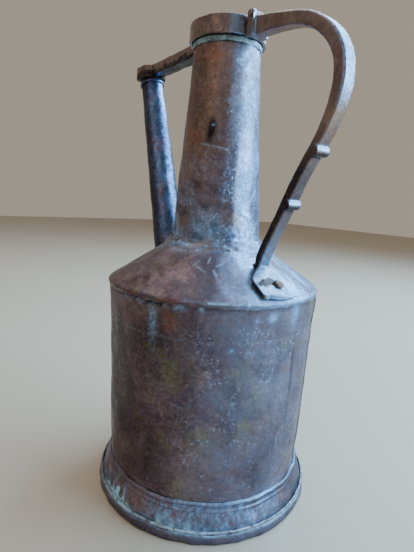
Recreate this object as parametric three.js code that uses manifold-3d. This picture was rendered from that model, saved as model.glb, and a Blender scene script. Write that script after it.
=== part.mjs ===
// A hand-made copper oil can: a soldered and riveted sheet-copper vessel with a flared foot, a conical
// shoulder, a tapering neck, a forged loop handle, a long straight spout and a small hinged lid.
//
// Units are millimetres and +Z is up. The origin is the centre of the underside. The handle stands on
// the +X side, the spout on the -X side, and the lid's hinge pin runs along Y.
import * as THREE from 'three';
import { mergeVertices } from 'three/addons/utils/BufferGeometryUtils.js';
import Module from 'manifold-3d';

const wasm = await Module();
wasm.setup();

// ---------------------------------------------------------------- driving dimensions

const GAP = 0.3; // left between pieces that touch
const SHEET = 1.2; // copper sheet
const VESSEL_FACETS = 48; // facets round the vessel
const SMALL_FACETS = 20; // facets round tubes, pins and rivets
const CORNER_STEPS = 2; // straight steps in a rounded corner
const BELOW_ALL = -10; // a height under the whole can, for cutting tools
const ABOVE_ALL = 330; // a height over the whole can

// Foot
const FOOT_RADIUS = 77.7;
const FLOOR_THICKNESS = 1.5;
const RIM_HEIGHT = 6.5; // height of the pan's turned-up edge
const RIM_WALL = 1.7;
const RIM_ROUND = 1.2; // rounding of the pan's bottom corner
const RIM_LEAN = 0.6; // how far the turned-up edge leans in
const SKIRT_WALL = 1.0;
const SKIRT_STANDOFF = 0.6; // left between the skirt's band and the body wall
const SKIRT_FLARE_BOTTOM = 5; // the skirt is upright below this height
const WAIST_BEAD = 16.6; // height of the underside of the skirt's lower bead
const TOP_BEAD = 20.4; // and of its upper one
const BEAD_STANDOUT = 1.4;
const SKIRT_TOP = 22.8;
const RIM_SOLDER_RISE = 1.5;

// Body wall, a slightly opening tube
const BODY_BOTTOM = { radius: 68.6, height: 15 };
const BODY_TOP = { radius: 71.75, height: 146.9 };

// Conical shoulder
const SEAM_RADIUS = 72.7;
const SEAM_HEIGHT = 148.5;
const SHOULDER_SLOPE = THREE.MathUtils.degToRad(33.15);
const LAP_WALL = 1.0; // the cone's edge, lapped down over the body
const LAP_BOTTOM = 145.6;
const LAP_BEND = 1; // how much of the lap's height its bend takes

// Neck
const NECK_BASE = { radius: 30.6, height: 176 };
const NECK_TOP = { radius: 20.87, height: 307 };
const NECK_UPTURN_TOP = 184; // top of the cone's edge, turned up inside the neck
const NECK_RING_RADIUS = 36.6; // outer edge of the flanged ring that seats the neck on the shoulder
const NECK_RING_THICKNESS = 1.5;
const NECK_RING_EDGE = 0.4; // thickness of its outer edge
const NECK_RING_RISE = 2.6; // how far it runs up the neck

// Collar
const COLLAR_RADIUS = 24.7;
const COLLAR_BOTTOM = 301.2;
const COLLAR_TOP = 312.1;
const COLLAR_ROUND = 0.6;
const COLLAR_GRIP_BOTTOM = 303.7; // below this the collar stands clear of the neck
const COLLAR_CLEAR = 1.6;
const COLLAR_SOLDER_HEIGHT = 3.1;
const COLLAR_SOLDER_WIDTH = 1.3;
const NOTCH_FLOOR = 308.9; // of the notch that the lid's tongue lies in

// Handle
const HANDLE_WIDTH = 9;
const HANDLE_THIN = 5.4; // bar thickness on the long straight run
const HANDLE_ARCH_SWELL = 1.7; // added over the arch
const HANDLE_ROOT_SWELL = 3.4; // added again at the collar
const HANDLE_SPINE = [
  [22, 305.6],
  [47, 303.0],
  [72, 296.8],
  [89, 283.2],
  [94.8, 265.5],
  [89, 243.5],
  [75.5, 221],
  [61, 192.8],
  [51.8, 175],
  [47.2, 161],
];
const ARCH_FADE = [0.45, 0.62]; // fractions of the spine's length over which the arch's swell ends
const ROOT_FADE = [0.02, 0.2];
const HANDLE_CHAMFER = 0.9;
const HANDLE_STEPS = 60;
const BEAD_PLACES = [0.612, 0.768]; // fractions of the spine's length
const BEAD_RADIUS = 3.2;
const BEAD_RISE = 2.2; // how far a bead stands out of the bar
const BEAD_OVERHANG = 0.4;
const LEAF_START = 45; // distance of the leaf's narrow end from the can's axis
const LEAF_FULL = 59.2; // where the leaf reaches its full width
const LEAF_END = 71.4;
const LEAF_FLARE = 5; // length of the bends that lead to its full width
const LEAF_CORNER = 4;
const LEAF_HALF_WIDTH = 14.6;
const LEAF_THICKNESS = 2.7;
const LEAF_RIVET_RADIUS = 63; // distance of the leaf's rivet from the can's axis
const LEAF_RIVET_SHANK = 2;
const LEAF_RIVET_HEAD = 3.8;
const LEAF_HOLE_LENGTH = 20;

// Hinge between the handle root's two ears
const HINGE = { x: 29, z: 311.2 };
const EAR_INNER = 3.6;
const EAR_OUTER = 6.4;
const EAR_ROUND = 2.6;
const EAR_BOTTOM = 299.6;
const EAR_BACK = 0.8; // how far the ears reach back past their rounded tops
const PIN_RADIUS = 1.2;
const PIN_HEAD_RADIUS = 1.8;
const PIN_HEAD_THICKNESS = 0.6;
const PIN_CLEARANCE = 0.13;
const KNUCKLE_RADIUS = 2.3;

// Spout
const SPOUT_BASE = { x: -60.6, z: 155, radius: 13 };
const SPOUT_TIP = { x: -106.5, z: 303, radius: 8.7 };
const SPOUT_WALL = 1.1;
const SPOUT_END_HEIGHT = 308.8;
const SPOUT_ROOT = 16; // how far its tube is drawn below the base before the shoulder cuts it
const SPOUT_SOLDER_WIDTH = 2.8;
const SPOUT_SOLDER_THICKNESS = 2.3;
const LIP_RING_HEIGHT = 2;
const LIP_RING_WIDTH = 1.3;
const POUR_HOLE_RADIUS = 9;

// Brace from the collar to the spout tip
const BRACE_BOTTOM = 302.5;
const BRACE_TOP = 311;
const BRACE_WIDTH = 10;
const BRACE_CHAMFER = 0.8;
const EYE_BOTTOM = 300.6; // the eye is thicker than the bar
const EYE_HALF_LENGTH = 10.9;
const EYE_HALF_WIDTH = 10.4;
const EYE_CORNER = 6;
const EYE_NECK = 2; // length of the bend where the brace widens into the eye

// Lid
const LID_RADIUS = 22.2;
const LID_CLEARANCE = 0.5; // round the lid and beside its tongue
const LID_THICKNESS = 1.2;
const LID_BOSS_RADIUS = 10.5;
const LID_BOSS_RISE = 2;
const TONGUE_THICKNESS = 1.4;
const TONGUE_WIDTH = 6.4;
const TONGUE_BEND = 21.4; // distance from the can's axis where the tongue turns up to the hinge
const LID_RIVET_PLACES = [12.9, 16.7];
const LID_RIVET_SHANK = 1;
const LID_RIVET_HEAD = 1.9;
const KNOB_SHANK = 1.3;
const KNOB_FOOT = 3.1;
const KNOB_NECK = 1.6;
const KNOB_WAIST = 0.9; // height of its foot, and thickness of its riveted tail
const KNOB_HEIGHT = 6.6;

// ---------------------------------------------------------------- finishes

function finish(color, roughness, metalness) {
  return new THREE.MeshStandardMaterial({ color, roughness, metalness });
}

const agedCopper = finish(0x6f4f49, 0.48, 0.85);
const neckCopper = finish(0x7a5547, 0.5, 0.85);
const forgedCopper = finish(0x4a3534, 0.42, 0.85);
const spoutCopper = finish(0x3f3a46, 0.38, 0.85);
const verdigris = finish(0x7d9a98, 0.8, 0.2);
const knobBrass = finish(0x6d5a3a, 0.45, 0.9);

// ---------------------------------------------------------------- helpers

function toSolid(geometry) {
  const bare = geometry.clone();
  bare.deleteAttribute('normal');
  bare.deleteAttribute('uv');
  const merged = mergeVertices(bare, 1e-4);
  return new wasm.Manifold(new wasm.Mesh({
    numProp: 3,
    vertProperties: merged.attributes.position.array,
    triVerts: new Uint32Array(merged.index.array),
  }));
}

function toGeometry(solid) {
  const mesh = solid.getMesh();
  const geometry = new THREE.BufferGeometry();
  geometry.setAttribute('position', new THREE.BufferAttribute(mesh.vertProperties, 3));
  geometry.setIndex(new THREE.BufferAttribute(mesh.triVerts, 1));
  geometry.computeVertexNormals();
  return geometry;
}

// Turns an outline of radius and height about Z. The outline runs anticlockwise, with the axis on its
// left-hand side, and closes on itself unless it starts and ends on the axis.
function revolve(outline, facets = VESSEL_FACETS) {
  const points = outline.getPoints(CORNER_STEPS);
  const first = points[0];
  const last = points[points.length - 1];
  if (first.x > 0 && first.distanceTo(last) > 1e-6) points.push(first.clone());
  return new THREE.LatheGeometry(points, facets).rotateX(Math.PI / 2);
}

// Extrudes an outline drawn in X and Z to a width centred on Y = 0.
function extrudeAcross(outline, width, bevel = 0) {
  const geometry = new THREE.ExtrudeGeometry(outline, {
    depth: width - 2 * bevel,
    bevelEnabled: bevel > 0,
    bevelThickness: bevel,
    bevelSize: bevel,
    bevelOffset: -bevel,
    bevelSegments: 1,
    curveSegments: 8,
  });
  return geometry.translate(0, 0, bevel - width / 2).rotateX(Math.PI / 2);
}

// Extrudes an outline drawn in X and Y upwards from one height to another.
function extrudeUp(outline, bottom, top, bevel = 0) {
  const geometry = new THREE.ExtrudeGeometry(outline, {
    depth: top - bottom - 2 * bevel,
    bevelEnabled: bevel > 0,
    bevelThickness: bevel,
    bevelSize: bevel,
    bevelOffset: -bevel,
    bevelSegments: 1,
    curveSegments: 10,
  });
  return geometry.translate(0, 0, bottom + bevel);
}

function box(low, high) {
  const size = high.map((value, axis) => value - low[axis]);
  const middle = high.map((value, axis) => (value + low[axis]) / 2);
  return new THREE.BoxGeometry(...size).translate(...middle);
}

// An upright cylinder round the can's axis.
function upright(radius, bottom, top, facets = VESSEL_FACETS) {
  return new THREE.CylinderGeometry(radius, radius, top - bottom, facets)
    .rotateX(Math.PI / 2)
    .translate(0, 0, (top + bottom) / 2);
}

// A cylinder along Y through a point given by its X and Z.
function crosswise(radius, x, z, width) {
  return new THREE.CylinderGeometry(radius, radius, width, SMALL_FACETS).translate(x, 0, z);
}

function shoulderHeight(radius) {
  return SEAM_HEIGHT + (SEAM_RADIUS - radius) * Math.tan(SHOULDER_SLOPE);
}

// Height of a surface that lies a given distance above the shoulder's own.
function aboveShoulder(radius, distance) {
  return shoulderHeight(radius) + distance / Math.cos(SHOULDER_SLOPE);
}

function neckRadius(height) {
  const along = (height - NECK_BASE.height) / (NECK_TOP.height - NECK_BASE.height);
  return THREE.MathUtils.lerp(NECK_BASE.radius, NECK_TOP.radius, along);
}

// The conical layer that lies between two distances above the shoulder.
function shoulderLayer(low, high, innerRadius, outerRadius) {
  const outline = new THREE.Shape();
  outline.moveTo(innerRadius, aboveShoulder(innerRadius, low));
  outline.lineTo(outerRadius, aboveShoulder(outerRadius, low));
  outline.lineTo(outerRadius, aboveShoulder(outerRadius, high));
  outline.lineTo(innerRadius, aboveShoulder(innerRadius, high));
  return toSolid(revolve(outline));
}

// Everything under the shoulder, less the gap, for cutting pieces that stand on it.
function underShoulder() {
  const inner = 5;
  const outer = 110;
  const outline = new THREE.Shape();
  outline.moveTo(inner, 60);
  outline.lineTo(outer, 60);
  outline.lineTo(outer, aboveShoulder(outer, GAP));
  outline.lineTo(inner, aboveShoulder(inner, GAP));
  return toSolid(revolve(outline));
}

const spoutRun = new THREE.Vector2(SPOUT_BASE.x - SPOUT_TIP.x, SPOUT_TIP.z - SPOUT_BASE.z);
const spoutTilt = Math.atan2(spoutRun.x, spoutRun.y);
const spoutLength = (SPOUT_END_HEIGHT - SPOUT_BASE.z) / Math.cos(spoutTilt);

// Lays a geometry built along Z from the origin on the spout's axis.
function onSpoutAxis(geometry) {
  return geometry.rotateY(-spoutTilt).translate(SPOUT_BASE.x, 0, SPOUT_BASE.z);
}

function spoutRadius(along) {
  return THREE.MathUtils.mapLinear(along, 0, spoutRun.length(), SPOUT_BASE.radius, SPOUT_TIP.radius);
}

// A tapering ring on the spout's axis, following the spout's outside at a distance.
function spoutRing(start, end, inner, outer) {
  const outline = new THREE.Shape();
  outline.moveTo(spoutRadius(start) + inner, start);
  outline.lineTo(spoutRadius(start) + outer, start);
  outline.lineTo(spoutRadius(end) + outer, end);
  outline.lineTo(spoutRadius(end) + inner, end);
  return onSpoutAxis(revolve(outline, SMALL_FACETS));
}

// Stands a geometry, built along Z from the origin, square on the shoulder at a radius towards +X.
function onShoulder(geometry, radius) {
  return geometry.rotateY(SHOULDER_SLOPE).translate(radius, 0, shoulderHeight(radius));
}

// A rivet on Z: a tail and a shank under a domed head whose underside is at headHeight.
function rivet(shank, head, tailHeight, headHeight) {
  const outline = new THREE.Shape();
  outline.moveTo(0, tailHeight - head * 0.3);
  outline.lineTo(head * 0.75, tailHeight - head * 0.3);
  outline.lineTo(head * 0.85, tailHeight);
  outline.lineTo(shank, tailHeight);
  outline.lineTo(shank, headHeight);
  outline.lineTo(head, headHeight);
  outline.quadraticCurveTo(head * 0.9, headHeight + head * 0.5, 0, headHeight + head * 0.5);
  return revolve(outline, SMALL_FACETS / 2);
}

const can = new THREE.Group();

function addPiece(name, geometry, material) {
  const mesh = new THREE.Mesh(geometry, material);
  mesh.name = name;
  can.add(mesh);
}

// ---------------------------------------------------------------- foot

// Flat pan that closes the can; its edge is turned up round the bottom of the skirt.
function basePan() {
  const wallInside = FOOT_RADIUS - RIM_WALL;
  const outline = new THREE.Shape();
  outline.moveTo(0, 0);
  outline.lineTo(FOOT_RADIUS - RIM_ROUND, 0);
  outline.quadraticCurveTo(FOOT_RADIUS, 0, FOOT_RADIUS, RIM_ROUND);
  outline.lineTo(FOOT_RADIUS - RIM_LEAN, RIM_HEIGHT - 1);
  outline.quadraticCurveTo(FOOT_RADIUS - RIM_LEAN, RIM_HEIGHT, wallInside, RIM_HEIGHT);
  outline.lineTo(wallInside, FLOOR_THICKNESS);
  outline.lineTo(0, FLOOR_THICKNESS);
  return revolve(outline);
}

// Flared ring soldered round the bottom of the body, with a bead at its waist and one at its top.
function footSkirt() {
  const bottom = FLOOR_THICKNESS + GAP;
  const foot = FOOT_RADIUS - RIM_WALL - GAP;
  const footInside = foot - SKIRT_WALL;
  const band = BODY_BOTTOM.radius + SKIRT_STANDOFF;
  const outside = band + SKIRT_WALL;
  const flareMiddle = (SKIRT_FLARE_BOTTOM + WAIST_BEAD) / 2;
  const outline = new THREE.Shape();
  outline.moveTo(footInside, bottom);
  outline.lineTo(foot, bottom);
  outline.lineTo(foot, SKIRT_FLARE_BOTTOM);
  outline.quadraticCurveTo(foot - BEAD_STANDOUT, flareMiddle, outside + BEAD_STANDOUT / 2, WAIST_BEAD);
  outline.quadraticCurveTo(outside + BEAD_STANDOUT, WAIST_BEAD + 1, outside, WAIST_BEAD + 2);
  outline.lineTo(outside, TOP_BEAD);
  outline.quadraticCurveTo(outside + BEAD_STANDOUT, TOP_BEAD + 1, outside - SKIRT_WALL / 2, SKIRT_TOP);
  outline.lineTo(band, SKIRT_TOP);
  outline.lineTo(band, WAIST_BEAD + 1);
  outline.quadraticCurveTo(footInside - BEAD_STANDOUT, flareMiddle, footInside, SKIRT_FLARE_BOTTOM);
  return revolve(outline);
}

// Solder that seals the pan's turned-up edge to the skirt.
function footRimSolder() {
  const bottom = RIM_HEIGHT + GAP;
  const top = bottom + RIM_SOLDER_RISE;
  const inside = FOOT_RADIUS - RIM_WALL - GAP / 2;
  const outside = FOOT_RADIUS - RIM_LEAN - GAP;
  const outline = new THREE.Shape();
  outline.moveTo(inside, bottom);
  outline.lineTo(outside, bottom);
  outline.quadraticCurveTo(outside - 2 * GAP, bottom + RIM_SOLDER_RISE / 2, inside, top);
  outline.lineTo(inside - GAP, top);
  return revolve(outline);
}

// ---------------------------------------------------------------- body and shoulder

function bodyWall() {
  const outline = new THREE.Shape();
  outline.moveTo(BODY_BOTTOM.radius - SHEET, BODY_BOTTOM.height);
  outline.lineTo(BODY_BOTTOM.radius, BODY_BOTTOM.height);
  outline.lineTo(BODY_TOP.radius, BODY_TOP.height);
  outline.lineTo(BODY_TOP.radius - SHEET, BODY_TOP.height);
  return revolve(outline);
}

// Cone lapped down over the body, with its inner edge turned up inside the neck. The pour hole opens
// under the spout, and a rivet hole under the handle's leaf.
function shoulderCone() {
  const lapInside = BODY_TOP.radius + GAP;
  const lapOutside = lapInside + LAP_WALL;
  const upturnLow = neckRadius(NECK_BASE.height) - SHEET - GAP;
  const upturnHigh = neckRadius(NECK_UPTURN_TOP) - SHEET - GAP;
  const outline = new THREE.Shape();
  outline.moveTo(lapInside, LAP_BOTTOM);
  outline.lineTo(lapOutside, LAP_BOTTOM);
  outline.lineTo(lapOutside, SEAM_HEIGHT - LAP_BEND);
  outline.quadraticCurveTo(lapOutside, shoulderHeight(lapOutside), lapInside, shoulderHeight(lapInside));
  outline.lineTo(upturnLow, shoulderHeight(upturnLow));
  outline.lineTo(upturnHigh, NECK_UPTURN_TOP);
  outline.lineTo(upturnHigh - LAP_WALL, NECK_UPTURN_TOP);
  outline.lineTo(upturnLow - LAP_WALL, aboveShoulder(upturnLow - LAP_WALL, -SHEET));
  outline.lineTo(lapInside, aboveShoulder(lapInside, -SHEET));

  const pourHole = onSpoutAxis(new THREE.CylinderGeometry(
    POUR_HOLE_RADIUS, POUR_HOLE_RADIUS, 2 * SPOUT_ROOT, SMALL_FACETS).rotateX(Math.PI / 2));
  return toGeometry(toSolid(revolve(outline)).subtract(toSolid(pourHole)).subtract(leafRivetHole()));
}

// ---------------------------------------------------------------- neck and collar

function neckTube() {
  const inside = NECK_BASE.radius - SHEET;
  const outline = new THREE.Shape();
  outline.moveTo(inside, aboveShoulder(inside, GAP));
  outline.lineTo(NECK_BASE.radius, aboveShoulder(NECK_BASE.radius, GAP));
  outline.lineTo(NECK_TOP.radius, NECK_TOP.height);
  outline.lineTo(NECK_TOP.radius - SHEET, NECK_TOP.height);
  return revolve(outline);
}

// Flanged ring that seats the neck on the shoulder.
function neckFlange() {
  const inside = NECK_BASE.radius + GAP;
  const outside = NECK_RING_RADIUS;
  const crease = inside + NECK_RING_THICKNESS;
  const top = NECK_BASE.height + NECK_RING_RISE;
  const outline = new THREE.Shape();
  outline.moveTo(inside, aboveShoulder(inside, GAP));
  outline.lineTo(outside, aboveShoulder(outside, GAP));
  outline.lineTo(outside - GAP, aboveShoulder(outside - GAP, GAP + NECK_RING_EDGE));
  outline.lineTo(crease, aboveShoulder(crease, NECK_RING_THICKNESS));
  outline.lineTo(neckRadius(top) + 2 * GAP, top);
  outline.lineTo(neckRadius(top) + GAP, top);
  return revolve(outline);
}

// Thick forged ring that grips the neck. Its lower edge stands clear of the neck, and its mouth is
// recessed for the lid and notched for the lid's tongue.
function collarBand() {
  const grip = neckRadius(COLLAR_GRIP_BOTTOM) + GAP;
  const recess = LID_RADIUS + LID_CLEARANCE;
  const rounded = COLLAR_RADIUS - COLLAR_ROUND;
  const outline = new THREE.Shape();
  outline.moveTo(grip + COLLAR_CLEAR, COLLAR_BOTTOM);
  outline.lineTo(rounded, COLLAR_BOTTOM);
  outline.quadraticCurveTo(COLLAR_RADIUS, COLLAR_BOTTOM, COLLAR_RADIUS, COLLAR_BOTTOM + COLLAR_ROUND);
  outline.lineTo(COLLAR_RADIUS, COLLAR_TOP - COLLAR_ROUND);
  outline.quadraticCurveTo(COLLAR_RADIUS, COLLAR_TOP, rounded, COLLAR_TOP);
  outline.lineTo(recess, COLLAR_TOP);
  outline.lineTo(recess, NECK_TOP.height);
  outline.lineTo(grip, NECK_TOP.height);
  outline.lineTo(grip, COLLAR_GRIP_BOTTOM);
  const notchHalf = TONGUE_WIDTH / 2 + LID_CLEARANCE;
  const notch = box([NECK_TOP.radius, -notchHalf, NOTCH_FLOOR], [HINGE.x, notchHalf, ABOVE_ALL]);
  return toGeometry(toSolid(revolve(outline)).subtract(toSolid(notch)));
}

function collarSolder() {
  const top = COLLAR_BOTTOM - GAP;
  const bottom = top - COLLAR_SOLDER_HEIGHT;
  const outside = neckRadius(top) + COLLAR_SOLDER_WIDTH;
  const outline = new THREE.Shape();
  outline.moveTo(neckRadius(bottom) + GAP, bottom);
  outline.quadraticCurveTo(outside, bottom + 2 * GAP, outside, top);
  outline.lineTo(neckRadius(top) + GAP, top);
  return revolve(outline);
}

// ---------------------------------------------------------------- handle

const handleSpine = new THREE.SplineCurve(HANDLE_SPINE.map(([x, z]) => new THREE.Vector2(x, z)));

function handleThickness(along) {
  const arch = 1 - THREE.MathUtils.smoothstep(along, ...ARCH_FADE);
  const root = 1 - THREE.MathUtils.smoothstep(along, ...ROOT_FADE);
  return HANDLE_THIN + HANDLE_ARCH_SWELL * arch + HANDLE_ROOT_SWELL * root;
}

// A point of the bar: side 1 is its outer face, 0 its middle and -1 its inner face.
function handlePoint(along, side) {
  const middle = handleSpine.getPointAt(along);
  const tangent = handleSpine.getTangentAt(along);
  const outward = new THREE.Vector2(-tangent.y, tangent.x);
  return middle.addScaledVector(outward, (side * handleThickness(along)) / 2);
}

function handleLoop() {
  const outer = [];
  const inner = [];
  for (let step = 0; step <= HANDLE_STEPS; step += 1) {
    outer.push(handlePoint(step / HANDLE_STEPS, 1));
    inner.unshift(handlePoint(step / HANDLE_STEPS, -1));
  }
  return toSolid(extrudeAcross(new THREE.Shape([...outer, ...inner]), HANDLE_WIDTH, HANDLE_CHAMFER));
}

function handleBead(along) {
  const face = handlePoint(along, 1);
  const middle = handlePoint(along, 0);
  const depth = BEAD_RADIUS - BEAD_RISE;
  const centre = face.clone().addScaledVector(middle.sub(face).normalize(), depth);
  return toSolid(crosswise(BEAD_RADIUS, centre.x, centre.y, HANDLE_WIDTH + 2 * BEAD_OVERHANG));
}

// Spade-shaped plate wrapped on the shoulder under the bar's lower end.
function handleLeaf() {
  const half = LEAF_HALF_WIDTH;
  const narrow = HANDLE_WIDTH / 2 - HANDLE_CHAMFER;
  const bend = LEAF_FULL - LEAF_FLARE;
  const corner = LEAF_END - LEAF_CORNER / 2;
  const outline = new THREE.Shape();
  outline.moveTo(LEAF_START, -narrow);
  outline.bezierCurveTo(bend, -narrow, bend, -half, LEAF_FULL, -half);
  outline.lineTo(LEAF_END - LEAF_CORNER, -half);
  outline.quadraticCurveTo(corner, -half, corner, LEAF_CORNER - half);
  outline.quadraticCurveTo(LEAF_END + LEAF_CORNER / 2, 0, corner, half - LEAF_CORNER);
  outline.quadraticCurveTo(corner, half, LEAF_END - LEAF_CORNER, half);
  outline.lineTo(LEAF_FULL, half);
  outline.bezierCurveTo(bend, half, bend, narrow, LEAF_START, narrow);
  const prism = toSolid(extrudeUp(outline, BELOW_ALL, ABOVE_ALL));
  return prism.intersect(shoulderLayer(GAP, GAP + LEAF_THICKNESS, NECK_BASE.radius, LEAF_END));
}

function leafRivetHole() {
  const radius = LEAF_RIVET_SHANK + GAP;
  const hole = new THREE.CylinderGeometry(radius, radius, LEAF_HOLE_LENGTH, SMALL_FACETS / 2).rotateX(Math.PI / 2);
  return toSolid(onShoulder(hole, LEAF_RIVET_RADIUS));
}

// One ear of the lid's hinge, on the side of the bar's root given by its sign.
function hingeEar(side) {
  const width = EAR_OUTER - EAR_INNER;
  const outline = new THREE.Shape();
  outline.moveTo(HINGE.x - EAR_ROUND - EAR_BACK, EAR_BOTTOM);
  outline.lineTo(HINGE.x + EAR_ROUND, EAR_BOTTOM);
  outline.lineTo(HINGE.x + EAR_ROUND, HINGE.z);
  outline.absarc(HINGE.x, HINGE.z, EAR_ROUND, 0, Math.PI, false);
  const ear = extrudeAcross(outline, width);
  return toSolid(ear.translate(0, (side * (EAR_INNER + EAR_OUTER)) / 2, 0));
}

function handleBar() {
  let bar = handleLoop();
  for (const along of BEAD_PLACES) bar = bar.add(handleBead(along));
  bar = bar.add(hingeEar(1)).add(hingeEar(-1));
  const slotFloor = HINGE.z - KNUCKLE_RADIUS - GAP;
  const slotEnd = HINGE.x + EAR_ROUND + GAP;
  const slot = box([NECK_TOP.radius, -EAR_INNER, slotFloor], [slotEnd, EAR_INNER, ABOVE_ALL]);
  const pinHole = crosswise(PIN_RADIUS + PIN_CLEARANCE, HINGE.x, HINGE.z, 2 * COLLAR_RADIUS);
  bar = bar.subtract(toSolid(slot)).subtract(toSolid(pinHole));
  bar = bar.subtract(toSolid(upright(COLLAR_RADIUS + GAP, BELOW_ALL, ABOVE_ALL)));
  bar = bar.subtract(underShoulder()).add(handleLeaf());
  return toGeometry(bar.subtract(leafRivetHole()));
}

function handleFootRivet() {
  const tail = -SHEET - GAP;
  const head = LEAF_THICKNESS + 2 * GAP;
  return onShoulder(rivet(LEAF_RIVET_SHANK, LEAF_RIVET_HEAD, tail, head), LEAF_RIVET_RADIUS);
}

// ---------------------------------------------------------------- spout and brace

function spoutTube() {
  const tube = toSolid(spoutRing(-SPOUT_ROOT, spoutLength, -SPOUT_WALL, 0));
  return toGeometry(tube.subtract(underShoulder()));
}

function spoutBaseSolder() {
  const ring = toSolid(spoutRing(-SPOUT_ROOT, SPOUT_ROOT, GAP, SPOUT_SOLDER_WIDTH));
  const top = GAP + SPOUT_SOLDER_THICKNESS;
  const layer = shoulderLayer(GAP, top, NECK_RING_RADIUS + GAP, SEAM_RADIUS - GAP);
  return toGeometry(ring.intersect(layer));
}

function spoutLipRing() {
  const tiltedRise = 2.8; // the ring is square to the spout, so its far side stands higher
  const top = (EYE_BOTTOM - tiltedRise - SPOUT_BASE.z) / Math.cos(spoutTilt);
  return spoutRing(top - LIP_RING_HEIGHT, top, GAP, LIP_RING_WIDTH);
}

// Flat bar from the collar to a thick square-shouldered eye that the spout's tip passes through.
function braceBar() {
  const eyeHeight = (EYE_BOTTOM + BRACE_TOP) / 2;
  const eye = SPOUT_BASE.x - (eyeHeight - SPOUT_BASE.z) * Math.tan(spoutTilt);
  const far = eye - EYE_HALF_LENGTH;
  const near = eye + EYE_HALF_LENGTH;
  const half = BRACE_WIDTH / 2;
  const side = EYE_HALF_WIDTH;
  const loop = new THREE.Shape();
  loop.moveTo(near, -half);
  loop.lineTo(near, half);
  loop.quadraticCurveTo(near - EYE_NECK, side, near - EYE_CORNER, side);
  loop.lineTo(far + EYE_CORNER, side);
  loop.quadraticCurveTo(far, side, far, EYE_CORNER / 2);
  loop.lineTo(far, -EYE_CORNER / 2);
  loop.quadraticCurveTo(far, -side, far + EYE_CORNER, -side);
  loop.lineTo(near - EYE_CORNER, -side);
  loop.quadraticCurveTo(near - EYE_NECK, -side, near, -half);
  const bar = box([near - EYE_CORNER, -half, BRACE_BOTTOM], [-NECK_TOP.radius, half, BRACE_TOP - GAP]);
  const solid = toSolid(extrudeUp(loop, EYE_BOTTOM, BRACE_TOP, BRACE_CHAMFER)).add(toSolid(bar));
  const holeRadius = spoutRadius((EYE_BOTTOM - SPOUT_BASE.z) / Math.cos(spoutTilt)) + GAP;
  const hole = new THREE.CylinderGeometry(holeRadius, holeRadius, 60, SMALL_FACETS)
    .rotateX(Math.PI / 2)
    .translate(0, 0, spoutLength);
  const collar = upright(COLLAR_RADIUS + GAP, BELOW_ALL, ABOVE_ALL);
  return toGeometry(solid.subtract(toSolid(onSpoutAxis(hole))).subtract(toSolid(collar)));
}

// ---------------------------------------------------------------- lid

const lidBottom = NECK_TOP.height + GAP;
const lidTop = lidBottom + LID_THICKNESS;

function hingePin() {
  const half = EAR_OUTER + PIN_HEAD_THICKNESS + GAP;
  const shankHalf = EAR_OUTER + GAP;
  const outline = new THREE.Shape();
  outline.moveTo(0, -half);
  outline.lineTo(PIN_HEAD_RADIUS, -half);
  outline.lineTo(PIN_HEAD_RADIUS, -shankHalf);
  outline.lineTo(PIN_RADIUS, -shankHalf);
  outline.lineTo(PIN_RADIUS, shankHalf);
  outline.lineTo(PIN_HEAD_RADIUS, shankHalf);
  outline.lineTo(PIN_HEAD_RADIUS, half);
  outline.lineTo(0, half);
  return revolve(outline, SMALL_FACETS).rotateX(Math.PI / 2).translate(HINGE.x, 0, HINGE.z);
}

function rivetHoles() {
  const holes = LID_RIVET_PLACES.map((x) => toSolid(
    upright(LID_RIVET_SHANK + GAP, BELOW_ALL, ABOVE_ALL, SMALL_FACETS / 2).translate(x, 0, 0)));
  return holes[0].add(holes[1]);
}

// Thin disc with a low raised middle. The knob's shank passes through the hole at its centre.
function lidPlate() {
  const hole = KNOB_SHANK + GAP;
  const slopeStart = LID_BOSS_RADIUS * 0.6;
  const outline = new THREE.Shape();
  outline.moveTo(hole, lidBottom + LID_BOSS_RISE);
  outline.quadraticCurveTo(slopeStart, lidBottom + LID_BOSS_RISE, LID_BOSS_RADIUS, lidBottom);
  outline.lineTo(LID_RADIUS, lidBottom);
  outline.lineTo(LID_RADIUS, lidTop);
  outline.lineTo(LID_BOSS_RADIUS + GAP, lidTop);
  outline.quadraticCurveTo(slopeStart, lidTop + LID_BOSS_RISE, hole, lidTop + LID_BOSS_RISE);
  return toGeometry(toSolid(revolve(outline)).subtract(rivetHoles()));
}

// Strap riveted to the lid, running up through the collar's notch to the hinge knuckle.
function lidTongue() {
  const start = LID_BOSS_RADIUS + GAP;
  const bottom = lidTop + GAP;
  const outline = new THREE.Shape();
  outline.moveTo(start, bottom);
  outline.lineTo(TONGUE_BEND, bottom);
  outline.lineTo(HINGE.x, HINGE.z - TONGUE_THICKNESS);
  outline.lineTo(HINGE.x, HINGE.z + TONGUE_THICKNESS / 2);
  outline.lineTo(TONGUE_BEND - 0.5, bottom + TONGUE_THICKNESS);
  outline.lineTo(start, bottom + TONGUE_THICKNESS);
  const strap = toSolid(extrudeAcross(outline, TONGUE_WIDTH));
  const knuckle = toSolid(crosswise(KNUCKLE_RADIUS, HINGE.x, HINGE.z, TONGUE_WIDTH));
  const pinHole = toSolid(crosswise(PIN_RADIUS + PIN_CLEARANCE, HINGE.x, HINGE.z, 2 * TONGUE_WIDTH));
  return toGeometry(strap.add(knuckle).subtract(pinHole).subtract(rivetHoles()));
}

function lidRivet(x) {
  const head = lidTop + TONGUE_THICKNESS + 2 * GAP;
  return rivet(LID_RIVET_SHANK, LID_RIVET_HEAD, lidBottom - GAP, head).translate(x, 0, 0);
}

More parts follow.
